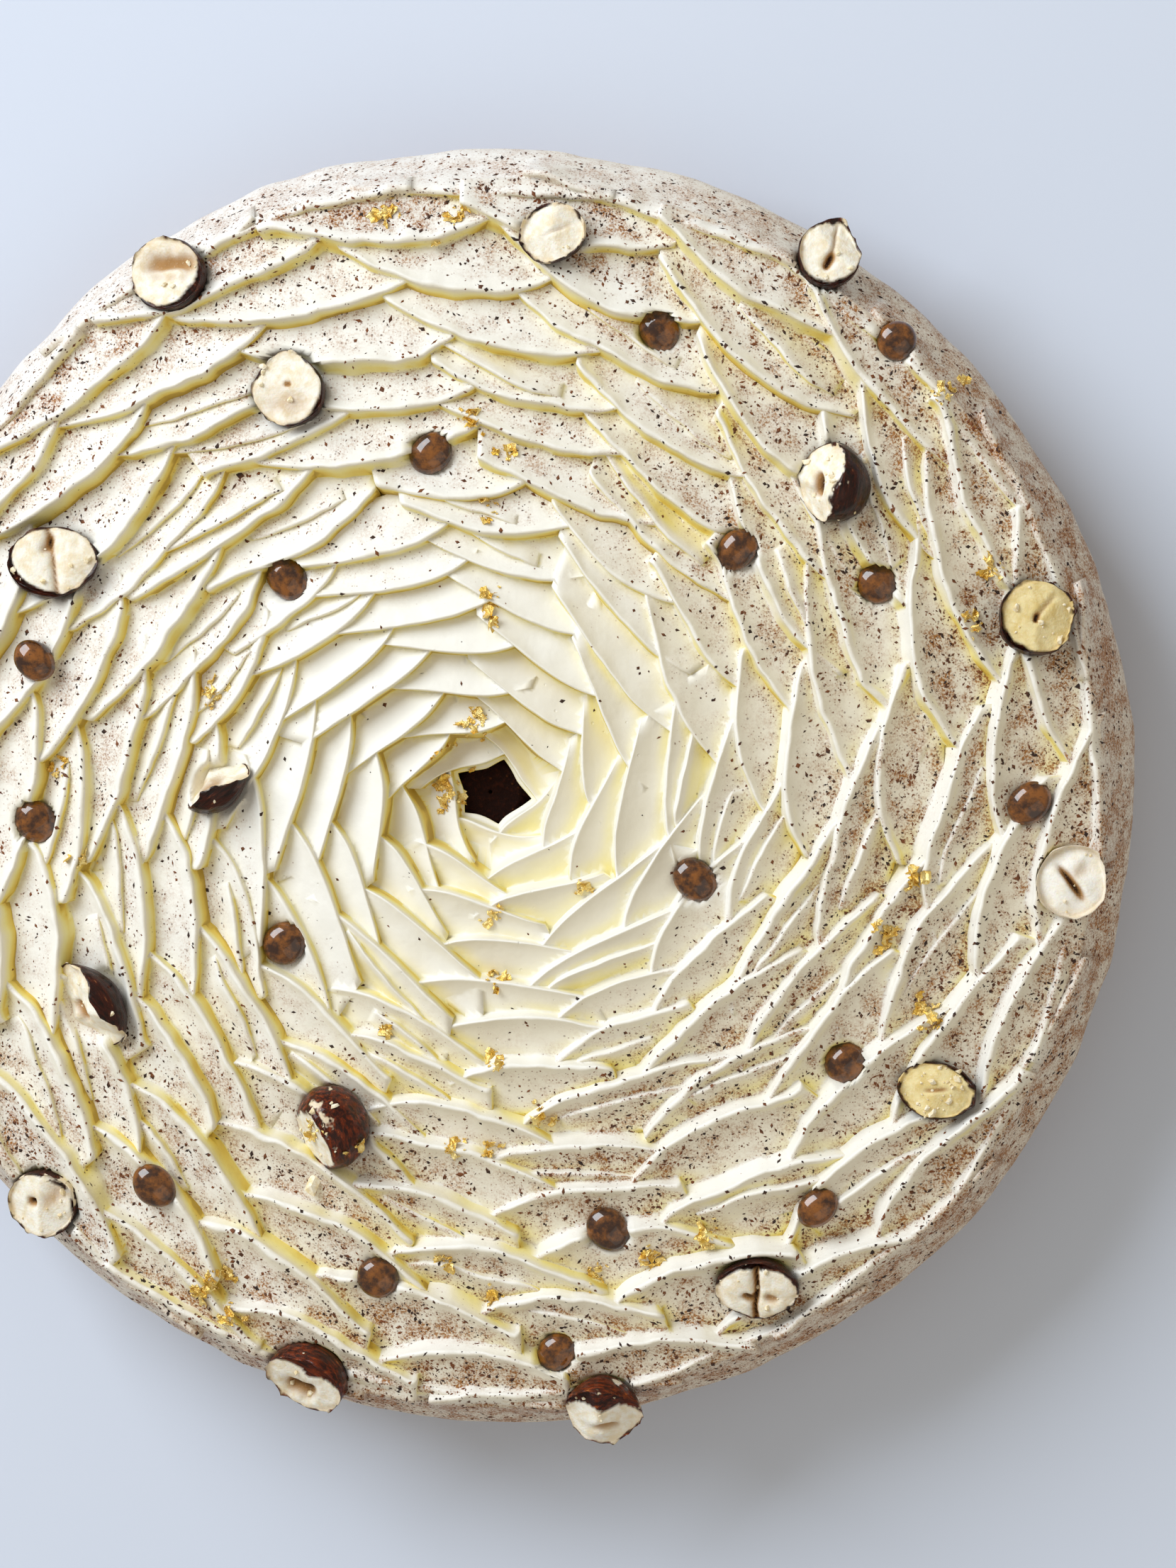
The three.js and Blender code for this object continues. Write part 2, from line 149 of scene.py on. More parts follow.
def corner_value(corner, seed):
    mixed = corner @ np.array([374761393, 668265263, 1274126177]) + seed * 1013904223
    mixed = mixed & 0xFFFFFFFF
    mixed = ((mixed ^ (mixed >> 13)) * 1274126177) & 0xFFFFFFFF
    mixed = mixed ^ (mixed >> 16)
    return (mixed & 0xFFFFFF) / 0x7FFFFF - 1


def lumps(points, size, seed=0):
    """Smooth noise between -1 and 1 whose lumps are about size wide."""
    scaled = np.asarray(points, float) / size
    base = np.floor(scaled).astype(np.int64)
    share = scaled - base
    weight = share * share * (3 - 2 * share)
    total = np.zeros(len(scaled))
    for step in np.ndindex(2, 2, 2):
        step = np.array(step)
        part = np.prod(np.where(step == 1, weight, 1 - weight), axis=1)
        total += part * corner_value(base + step, seed)
    return total


# ---- meshes --------------------------------------------------------------------------------


def linked(name, data):
    """A new object of the scene that holds a mesh, a light or a camera."""
    made = bpy.data.objects.new(name, data)
    bpy.context.scene.collection.objects.link(made)
    return made


def shade_smooth(mesh):
    mesh.polygons.foreach_set("use_smooth", [True] * len(mesh.polygons))


def new_piece(name, points, faces, smooth=True):
    mesh = bpy.data.meshes.new(name)
    mesh.from_pydata((np.asarray(points) * MM).tolist(), [], faces)
    mesh.update()
    if smooth:
        shade_smooth(mesh)
    return linked(name, mesh)


def many_bodies(name, bodies, smooth=False):
    """One piece of many closed bodies, each given as its points and its faces."""
    points, faces, first = [], [], 0
    for body, sides in bodies:
        points.append(body)
        faces += [[first + i for i in side] for side in sides]
        first += len(body)
    return new_piece(name, np.concatenate(points), faces, smooth)


def set_value(piece, name, values):
    values = np.asarray(values, np.float32)
    kind = "FLOAT" if values.ndim == 1 else "FLOAT_VECTOR"
    attribute = piece.data.attributes.new(name, kind, "POINT")
    attribute.data.foreach_set("value" if values.ndim == 1 else "vector", values.ravel())


def points_of(piece):
    points = np.empty(len(piece.data.vertices) * 3, np.float32)
    piece.data.vertices.foreach_get("co", points)
    return points.reshape(-1, 3).astype(float) / MM


def move_points(piece, points):
    piece.data.vertices.foreach_set("co", (points * MM).astype(np.float32).ravel())
    piece.data.update()


def bands(rings, size, closed=False):
    """Four-sided faces between rings of equally many points."""
    ring = np.arange(rings if closed else rings - 1)[:, None]
    spot = np.arange(size)[None, :]
    here = ring * size
    there = ((ring + 1) % rings) * size
    after = (spot + 1) % size
    corners = [here + spot, here + after, there + after, there + spot]
    return np.stack([c + 0 * spot for c in corners], axis=-1).reshape(-1, 4).tolist()


def capped(rings, size):
    """The faces of a closed body through rings of points, each ring filled at both ends."""
    faces = bands(rings, size)
    last = (rings - 1) * size
    faces.append(list(range(size))[::-1])
    faces.append(list(range(last, last + size)))
    return faces


def ball(subdivisions):
    """Points and faces of an even ball of radius 1."""
    made = bmesh.new()
    bmesh.ops.create_icosphere(made, subdivisions=subdivisions, radius=1)
    points = np.array([v.co[:] for v in made.verts])
    faces = [[v.index for v in face.verts] for face in made.faces]
    made.free()
    return points, faces


def on_circle(angle, radius):
    """X and Y of places at an angle and a distance from the middle of the tart."""
    turn = np.radians(angle)
    return radius * np.cos(turn), radius * np.sin(turn)


def turned_rings(profile, steps):
    """Points of a profile of radius and height, turned round the middle in even steps."""
    radius, height = np.array(profile, float).T
    angle = np.arange(steps)[:, None] * 360 / steps
    x, y = on_circle(angle, radius)
    return np.stack([x, y, np.tile(height, (steps, 1))], axis=-1).reshape(-1, 3)


def drop(piece):
    mesh = piece.data
    bpy.data.objects.remove(piece)
    bpy.data.meshes.remove(mesh)


def joined(first, second):
    """The union of two closed pieces, which both go into it."""
    join = first.modifiers.new("join", "BOOLEAN")
    join.operation = "UNION"
    join.solver = "MANIFOLD"
    join.object = second
    graph = bpy.context.evaluated_depsgraph_get()
    mesh = bpy.data.meshes.new_from_object(first.evaluated_get(graph))
    name = first.name
    drop(first)
    drop(second)
    mesh.name = name
    return linked(name, mesh)


def all_joined(pieces):
    while len(pieces) > 1:
        pairs = [pieces[i : i + 2] for i in range(0, len(pieces), 2)]
        pieces = [joined(*pair) if len(pair) == 2 else pair[0] for pair in pairs]
    return pieces[0]


# ---- the petals of cream -------------------------------------------------------------------


def outer_radius(angle):
    wave = np.sin(np.radians(7 * angle)) + 0.6 * np.sin(np.radians(17 * angle) + 1)
    return CREAM["outer"] + CREAM["wave"] * wave


def side_width(angle):
    return SIDE["mean"] + SIDE["swing"] * np.cos(np.radians(angle))


def petals_of_row(row):
    radius, count, height, phase = ROWS[row]
    draw = drawer(SEEDS["petals"] + 77 * row)
    pitch = 360 / count
    spacing = SIDE["mean"] if row == OUTERMOST else ROWS[row + 1][0] - radius
    petals = []
    for number in range(count):
        petals.append(
            dict(
                row=row,
                number=number,
                start=phase + (number + spread(draw, UNEVEN["along"])) * pitch,
                span=pitch * (PETAL["span"] + spread(draw, UNEVEN["length"])),
                crest=radius + spread(draw, UNEVEN["across"]),
                lip=height + spread(draw, UNEVEN["height"]),
                spacing=spacing,
            )
        )
    return petals


def lip_at(petal, share):
    """Angle and radius of the lip at shares of the petal's length."""
    before = np.maximum(0, 1 - share / PETAL["crest_at"])
    after = np.maximum(0, (share - PETAL["crest_at"]) / (1 - PETAL["crest_at"]))
    angle = petal["start"] + share * petal["span"]
    out = PETAL["start_fall"] * before**2 + PETAL["end_fall"] * after ** PETAL["end_power"]
    if petal["row"] != OUTERMOST:
        return angle, petal["crest"] + out * petal["spacing"]
    side = side_width(angle)
    uneven = petal["crest"] - ROWS[OUTERMOST][0]
    return angle, outer_radius(angle) - side + uneven + PETAL["rim_fall"] * out * side


def face_plane(petal):
    """Gradient and level of the plane that the petal's face follows."""
    crest_angle, crest_radius = lip_at(petal, np.float64(PETAL["crest_at"]))
    end_angle, end_radius = lip_at(petal, np.float64(1))
    turn = math.radians(end_angle - crest_angle)
    outwards = end_radius * math.cos(turn) - crest_radius
    along = end_radius * math.sin(turn)
    rise = max(PETAL["least_rise"], (PETAL["slope"] * outwards - PETAL["end_sink"]) / along)
    cos, sin = math.cos(math.radians(crest_angle)), math.sin(math.radians(crest_angle))
    gradient = np.array([-PETAL["slope"] * cos - rise * sin, -PETAL["slope"] * sin + rise * cos])
    crest = np.array([crest_radius * cos, crest_radius * sin])
    return gradient, petal["lip"] - gradient @ crest


# How the piped look changes from the inner rows to the rim.
INNER_ROWS = 3
ROUGH_ROWS = 8
RIM_ROWS = 2.5


def row_look(row):
    """Bead of the lip, lean of its inner wall, unevenness, dip behind the lip and raised end."""
    outwards = float(blend_between(row, INNER_ROWS, ROUGH_ROWS))
    rim = float(blend_between(row, OUTERMOST - RIM_ROWS, OUTERMOST))
    return dict(
        bead=0.24 + 0.26 * outwards + 0.1 * rim,
        lean=1.2 + 2.0 * outwards + 1.2 * rim,
        ragged=0.05 + 0.27 * outwards,
        sway=0.2 + 0.7 * outwards,
        dip=0.2 + 0.5 * outwards,
        flat=1.5 + 0.3 * outwards,
        hem=0.1 + 0.4 * outwards,
    )


# Points along and across a petal, and the places of the last ones before a blunt end.
LIP_STEP = 1.0
LIP_POINTS = (16, 46)
END_STEPS = np.array([0.75, 0.5, 0.28, 0.1, 0])
WALL_POINTS = 5
BEAD_POINTS = 7
FACE_POINTS = 14

# The inner wall's depth, the angle at which the bead of the lip ends, the rounding of blunt and of
# pointed ends, the grooves in the tart's side and the width of the dip behind a lip.
WALL_DEPTH = 5.5
BEAD_END = 50
BLUNT = dict(often=0.5, least=0.86, more=0.12, hook=2.2, rounding=1.1)
NOSE = dict(depth=1.2, start=0.88, length=0.12)
RIM_GROOVE = 1.1
DIP_WIDTH = 1.5

# Lumps along the lips: their size, and the number that is added to the row's for their seed.
LIP_LUMPS = dict(
    sway=(11, 0),
    ragged=(2.6, 50),
    crest=(3.4, 90),
    crumpled=(1.7, 130),
    bead=(3.1, 170),
    long_bead=(9, 190),
    knob=(4.3, 210),
    lean=(6, 230),
)


def free_end(petal):
    """Where the petal ends, how far its lip turns in there, and whether its end is blunt."""
    draw = drawer(SEEDS["ends"] + 977 * petal["row"] + 31 * petal["number"])
    rough = float(blend_between(petal["row"], INNER_ROWS, ROUGH_ROWS))
    blunt = draw() < BLUNT["often"] * rough and petal["row"] < OUTERMOST
    last = BLUNT["least"] + BLUNT["more"] * draw() if blunt else 1.0
    hook = rough * (BLUNT["hook"] * draw() ** 1.5 - 0.2) if blunt else 0.0
    return last, hook, blunt


def quarter_round(share):
    """0 where a rounded end begins and 1 at its tip, on a quarter of a circle."""
    return 1 - np.sqrt(1 - np.clip(share, 0, 1) ** 2)


def bead_edge(top, bead):
    """Where the bead of a lip goes over into the face: distance outside the lip, and height."""
    turn = math.radians(BEAD_END)
    return bead * (1 + math.cos(turn)), top + bead * (math.sin(turn) - 1)


def room_outside(angle, radius):
    """How far a face can reach outwards before it comes near the side of the tart."""
    return outer_radius(angle) - PETAL["reach_in_side"] * side_width(angle) - radius


def petal_body(petal):
    """The petal through its sections: inner wall, rounded lip, face and underside."""
    row = petal["row"]
    look = row_look(row)
    last, hook, blunt = free_end(petal)
    length = math.radians(petal["span"]) * petal["crest"]
    share = np.linspace(0, last, int(np.clip(length / LIP_STEP, *LIP_POINTS)))
    if blunt:
        share = np.append(share[:-1], last - END_STEPS / length)
    angle, radius = lip_at(petal, share)
    plain = np.stack(on_circle(angle, radius), 1)
    along = np.column_stack([plain, np.full(len(share), 7.3 * petal["number"])])
    if row == OUTERMOST:
        top = petal["lip"] - PETAL["rim_sink"] * np.maximum(0, share - PETAL["crest_at"])
    else:
        gradient, level = face_plane(petal)
        top = level + plain @ gradient
    to_end = (last - share) * length
    end_fall = BLUNT["rounding"] * quarter_round(1 - to_end / BLUNT["rounding"])
    if blunt:
        radius = radius - hook * np.exp(-to_end / 1.5)
        top = top + look["hem"] * np.exp(-((to_end / 2.2) ** 2))
        top = top - end_fall
    else:
        top = top - NOSE["depth"] * quarter_round((share - NOSE["start"]) / NOSE["length"])
    uneven = {name: lumps(along, size, row + seed) for name, (size, seed) in LIP_LUMPS.items()}
    radius = radius + look["sway"] * uneven["sway"] + look["ragged"] * uneven["ragged"]
    top = top + look["ragged"] * (0.9 * uneven["crest"] + 0.6 * uneven["crumpled"])
    knob = np.maximum(0, uneven["knob"] - 0.35)
    bead = look["bead"] * (1 + 0.3 * uneven["bead"] + 0.3 * uneven["long_bead"] + knob)
    lean = look["lean"] * (1 + 0.35 * uneven["lean"])
    out, high = wall_and_lip(lean, WALL_DEPTH, top, bead)
    if row == OUTERMOST:
        more_out, more_high = rim_side(lean, angle, radius, top, bead, petal["lip"], share)
    else:
        hem = (look["hem"] * np.exp(-((to_end / 1.6) ** 2)) - end_fall) * blunt
        more_out, more_high = face_and_back(petal, look, angle, radius, top, bead, hem, lean)
    if row == 0:
        ledge = CREAM["hole_top"] + 0.05 * np.arange(1, WALL_POINTS + 1)
        high[:, :WALL_POINTS] = np.maximum(high[:, :WALL_POINTS], ledge)
    return body_through(angle, radius, np.hstack([out, more_out]), np.hstack([high, more_high]))


def body_through(angle, radius, out, high):
    """A closed body through sections given as distances outside the lip and heights."""
    x, y = on_circle(angle[:, None], radius[:, None] + out)
    rings = np.stack([x, y, high], axis=-1)
    return rings.reshape(-1, 3), capped(*high.shape)


def wall_and_lip(lean, depth, top, bead):
    """Inner wall from its foot upwards, then the round bead of the lip."""
    down = 1 - np.arange(WALL_POINTS) / WALL_POINTS
    wall_out = -np.outer(np.full(len(top), 1.0) * lean, down**1.15)
    wall_high = (top - bead)[:, None] - depth * down
    turn = np.radians(np.linspace(180, BEAD_END, BEAD_POINTS))
    lip_out = bead[:, None] * (1 + np.cos(turn))
    lip_high = top[:, None] + bead[:, None] * (np.sin(turn) - 1)
    return np.hstack([wall_out, lip_out]), np.hstack([wall_high, lip_high])


def face_height(petal, look, angle, radius):
    """Height of a petal's face: a plane that dips behind the lip and is flatter far from it."""
    x, y = on_circle(angle, radius)
    _, lip = lip_at(petal, (angle - petal["start"]) / petal["span"])
    out = np.maximum(0, radius - lip)
    gradient, level = face_plane(petal)
    dip = look["dip"] * (1 - np.exp(-out / DIP_WIDTH))
    flatter = look["flat"] * np.minimum(1.2, out / petal["spacing"]) ** 1.6
    places = np.stack([x, y, np.full_like(x, 5.0 * petal["row"])], -1).reshape(-1, 3)
    wander = (0.3 * lumps(places, 7, 7) + 0.12 * lumps(places, 2.8, 8)).reshape(x.shape)
    plane = level + gradient[0] * x + gradient[1] * y
    return plane - dip + flatter + wander * np.minimum(1, out / 2)


def face_and_back(petal, look, angle, radius, top, bead, hem, lean):
    """The outer face up to its far edge, and the two corners of the underside."""
    most = room_outside(angle, radius)
    reach = np.maximum(np.minimum(PETAL["reach"] * petal["spacing"], most), 1.6 * bead + 1)
    start, edge = bead_edge(top, bead)
    part = np.linspace(0, 1, FACE_POINTS + 1)[1:] ** 1.5
    out = start[:, None] + (reach - start)[:, None] * part
    angles = np.repeat(angle[:, None], FACE_POINTS, 1)
    high = face_height(petal, look, angles, radius[:, None] + out)
    near = np.exp(-(out - start[:, None]) / 1.2)
    beside = face_height(petal, look, angle, radius + start)
    high = high + (edge - beside)[:, None] * near + hem[:, None] * (1 - near)
    if petal["row"] == 0:
        foot = np.full(len(angle), CREAM["hole_top"])
    else:
        foot = np.minimum(petal["lip"] - PETAL["depth"], top - bead - WALL_DEPTH - 0.4)
    out = np.column_stack([out, reach, -lean])
    return out, np.column_stack([np.maximum(high, foot[:, None] + 0.3), foot, foot])


# Folds cross the faces of the outer rows: lower lips between the petals' own.
FOLD = dict(first_row=4, often=0.4, proud=1.6, depth=3.5, lean=1.7, points=8, steps=28)


def fold_body(petal, draw):
    """A fold on the petal's face, from behind its lip across to the next row."""
    look = row_look(petal["row"])
    first = 0.08 + 0.25 * draw()
    share = first + np.linspace(0, 1, FOLD["steps"]) * (0.45 + 0.25 * draw())
    first_out = 0.2 + 0.2 * draw()
    rise = (share - share[0]) / (share[-1] - share[0])
    angle, lip = lip_at(petal, share)
    radius = lip + petal["spacing"] * (first_out + 0.35 * rise)
    along = np.column_stack([*on_circle(angle, radius), share])
    radius = radius + 0.6 * lumps(along, 8, 400 + petal["row"]) + 0.2 * lumps(along, 2.2, 420)
    swell = np.sin(math.pi * np.clip(rise, 0.02, 0.98)) ** 0.5
    proud = FOLD["proud"] * (0.6 + 0.7 * draw()) * swell
    top = face_height(petal, look, angle, radius) + proud + 0.12 * lumps(along, 1.9, 430)
    bead = np.minimum(0.9 * look["bead"], 0.5 * proud + 0.08)
    out, high = wall_and_lip(FOLD["lean"], FOLD["depth"], top, bead)
    start, edge = bead_edge(top, bead)
    most = room_outside(angle, radius)
    reach = np.maximum(np.minimum(petal["spacing"] * 0.6, most), start + 0.4)
    part = np.linspace(0, 1, FOLD["points"] + 1)[1:]
    face_out = start[:, None] + (reach - start)[:, None] * part
    angles = np.repeat(angle[:, None], FOLD["points"], 1)
    face = face_height(petal, look, angles, radius[:, None] + face_out)
    beside = face_height(petal, look, angle, radius + start)
    face = face + (edge - beside)[:, None] * (1 - part) ** 1.6 - 0.4 * part
    foot = top - bead - FOLD["depth"] - 0.3
    out = np.column_stack([out, face_out, reach, np.full(len(angle), -FOLD["lean"])])
    high = np.column_stack([high, np.maximum(face, foot[:, None] + 0.3), foot, foot])
    return body_through(angle, radius, out, high)


def rim_side(lean, angle, radius, top, bead, lip, along):
    """The sloping outer side of the outermost row down to its foot, and the underside."""
    groove = 1 - np.sin(math.pi * np.clip(along, 0, 1)) ** 0.5
    places = np.column_stack([angle * 2, along * 3, np.full(len(angle), lip)])
    uneven = 0.35 * (1 + lumps(places, 6, 77))
    foot = outer_radius(angle) - radius - RIM_GROOVE * groove - uneven
    belly_out, belly_high = SIDE["belly_out"] * foot, lip - SIDE["belly_down"]
    edge_out, edge_high = bead_edge(top, bead)
    share = np.linspace(0.06, 1, 9)
    upper_out = edge_out[:, None] + (belly_out - edge_out)[:, None] * share**0.8
    upper_high = edge_high[:, None] + (belly_high - edge_high)[:, None] * share
    share = np.linspace(0.12, 1, 8)
    lower_out = belly_out[:, None] + (foot - belly_out)[:, None] * np.sin(share * math.pi / 2)
    lower_high = np.tile(belly_high + (CREAM["widest"] - belly_high) * share, (len(foot), 1))
    inside = np.maximum(SHELL["radius"] + GAP - radius, 0.6)
    rest_out = [foot - 0.2, foot - CREAM["undercut"], inside, inside, -lean]
    under = SHELL["height"] + GAP
    rest_high = [CREAM["widest"] - 2.4, CREAM["underside"], CREAM["underside"], under, under]
    rest_high = np.tile(rest_high, (len(foot), 1))
    out = np.hstack([upper_out, lower_out, np.column_stack(rest_out)])
    return out, np.hstack([upper_high, lower_high, rest_high])


def row_piece(row):
    """All petals of a row with their folds, joined into one body."""
    petals = petals_of_row(row)
    draw = drawer(SEEDS["folds"] + row)
    odd = len(petals) % 2
    groups = {}
    for petal in petals:
        last_of_odd = odd and petal["number"] == len(petals) - 1
        turn = 2 if last_of_odd else petal["number"] % 2
        groups.setdefault(f"petals_{turn}", []).append(petal_body(petal))
        if FOLD["first_row"] <= row < OUTERMOST - 1 and draw() < FOLD["often"]:
            groups.setdefault(f"folds_{turn}", []).append(fold_body(petal, draw))
    groups = [many_bodies(f"{name}_{row}", bodies, True) for name, bodies in groups.items()]
    return all_joined(groups)


def bed_top(radius):
    drop_to_bed = CREAM["bed_drop"]
    marks = [(CREAM["hole_radius"] - 1, CREAM["hole_top"] + 0.6)]
    marks += [(ROWS[row][0] + 6, ROWS[row][2] - drop_to_bed) for row in range(2, OUTERMOST, 2)]
    marks.append((CREAM["outer"] - SIDE["mean"], ROWS[OUTERMOST][2] - drop_to_bed))
    return float(np.interp(radius, *zip(*marks)))


def bed_piece(name, inner, outer):
    """A ring of the bed under the petals, which reaches into the tart's side without an outer."""
    under = SHELL["height"] + GAP
    if outer is None:
        radii = np.linspace(inner, CREAM["outer"] - SIDE["mean"], 5)
        wide = CREAM["outer"] - 2.6
        inside = SHELL["radius"] + GAP
        side = [(wide, CREAM["widest"] - 0.5), (wide - 0.4, CREAM["underside"])]
        side += [(inside, CREAM["underside"]), (inside, under)]
    else:
        radii = np.linspace(inner, outer, 8)
        side = [(outer, under)]
    profile = [(inner, under)] + [(radius, bed_top(radius)) for radius in radii] + side
    steps = CREAM["bed_steps"]
    return new_piece(name, turned_rings(profile, steps), bands(steps, len(profile), closed=True))


# Each part of the cream: its rows, and the inner and outer radius of the bed under them.
PARTS = {
    "cream_petals_inner": (range(0, 7), 9.3, 56),
    "cream_petals_middle": (range(7, 11), 50, 92),
    "cream_petals_outer": (range(11, 14), 86, None),
}


def cream_part(name):
    rows, inner, outer = PARTS[name]
    piece = all_joined([bed_piece("bed", inner, outer)] + [row_piece(row) for row in rows])
    piece.name = name
    return piece


# ---- lie of the surface --------------------------------------------------------------------

# A plan grid of the cream: its step, half its width, how often gaps in it are filled, and the
# cells to each side over which its mean height is taken.
MAP_STEP = 0.5
MAP_HALF = 118.0
MAP_FILLS = 3
MEAN_CELLS = 5

# The sky over a point is looked at in so many directions, and at these distances.
SKY_DIRECTIONS = 12
SKY_REACHES = (0.8, 1.5, 2.4, 3.6, 5.2, 7.5)


def map_cells(points):
    cells = np.round((points[:, :2] + MAP_HALF) / MAP_STEP).astype(int)
    return np.clip(cells, 0, int(2 * MAP_HALF / MAP_STEP))


def height_map(clouds):
    """Height of the top of the cream over each cell of a plan grid."""
    size = int(2 * MAP_HALF / MAP_STEP) + 1
    heights = np.zeros((size, size))
    for points in clouds:
        cells = map_cells(points)
        np.maximum.at(heights, (cells[:, 0], cells[:, 1]), points[:, 2])
    for _ in range(MAP_FILLS):
        grown = heights.copy()
        for shift in ((0, 1), (0, -1), (1, 0), (-1, 0)):
            grown = np.maximum(grown, np.roll(heights, shift, (0, 1)) * (heights == 0))
        heights = np.where(heights == 0, grown, heights)
    return heights


def shaded_share(points, heights):
    """How much of the sky the cream round a point hides, from 0 to 1."""
    total = np.zeros(len(points))
    for turn in np.arange(SKY_DIRECTIONS) * 2 * math.pi / SKY_DIRECTIONS:
        horizon = np.zeros(len(points))
        for reach in SKY_REACHES:
            step = np.array([math.cos(turn), math.sin(turn), 0]) * reach
            cells = map_cells(points + step)
            rise = heights[cells[:, 0], cells[:, 1]] - points[:, 2]
            horizon = np.maximum(horizon, rise / reach)
        total += horizon / np.sqrt(1 + horizon**2)
    return total / SKY_DIRECTIONS


def blurred(heights, reach):
    """Mean height over a square of cells, reach cells to each side."""
    steps = range(-reach, reach + 1)
    for axis in (0, 1):
        heights = sum(np.roll(heights, step, axis) for step in steps) / len(steps)
    return heights


# Cocoa dust: the radii between which it grows, on the cream and again at the rim, the way to the
# right, away from the window, in which it grows too and also paints shade, between which places
# along it, and the sizes of its clouds.
DUST = dict(away=(30, 70), rim=(90, 106), way=(0.85, -0.55), right=(-40, 80), clouds=(14, 5))


def dust_and_shade_at(points):
    """How thickly the cocoa dust lies: little near the hole, most on the right and the rim; on the
    right, turned from the window, it also stands for painted shade.
    """
    x, y = points[:, 0], points[:, 1]
    radius = np.hypot(x, y)
    away = blend_between(radius, *DUST["away"])
    # Heavier to the right, the side turned from the window: cocoa dust and painted shade.
    right = blend_between(DUST["way"][0] * x + DUST["way"][1] * y, *DUST["right"])
    rim = blend_between(radius, *DUST["rim"])
    plan = points * [1, 1, 0]
    large, small = (lumps(plan, size, 500 + i) for i, size in enumerate(DUST["clouds"]))
    cloudy = 1 + 0.55 * large + 0.3 * small
    return np.clip(away * (0.4 + 0.4 * right) * cloudy + rim * (0.5 + 0.3 * right), 0, 1)


# ---- toppings ------------------------------------------------------------------------------

# How deep toppings are sunk in the cream, the height below which they press nothing, and the share
# of a topping's size, from its middle, that specks stay off and crumbs lie on.
SUNK = 0.15
FIRM_BELOW = SHELL["height"] + 3
COVERED = 0.47


def topping_middle(node):
    """Middle and size of a node's box."""
    low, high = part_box(node)
    return np.array((low + high) / 2) / MM, np.array(high - low) / MM


def press(points, middle, half):
    """Presses the cream down under a topping with the given middle and half sizes."""
    offset = (points - middle) / half
    across = offset[:, 0] ** 2 + offset[:, 1] ** 2
    under = across < 1
    floor = middle[2] - half[2] * np.sqrt(np.maximum(0, 1 - across)) + SUNK
    sunk = under & (points[:, 2] > floor) & (points[:, 2] > FIRM_BELOW)
    points[sunk, 2] = floor[sunk]
    return points
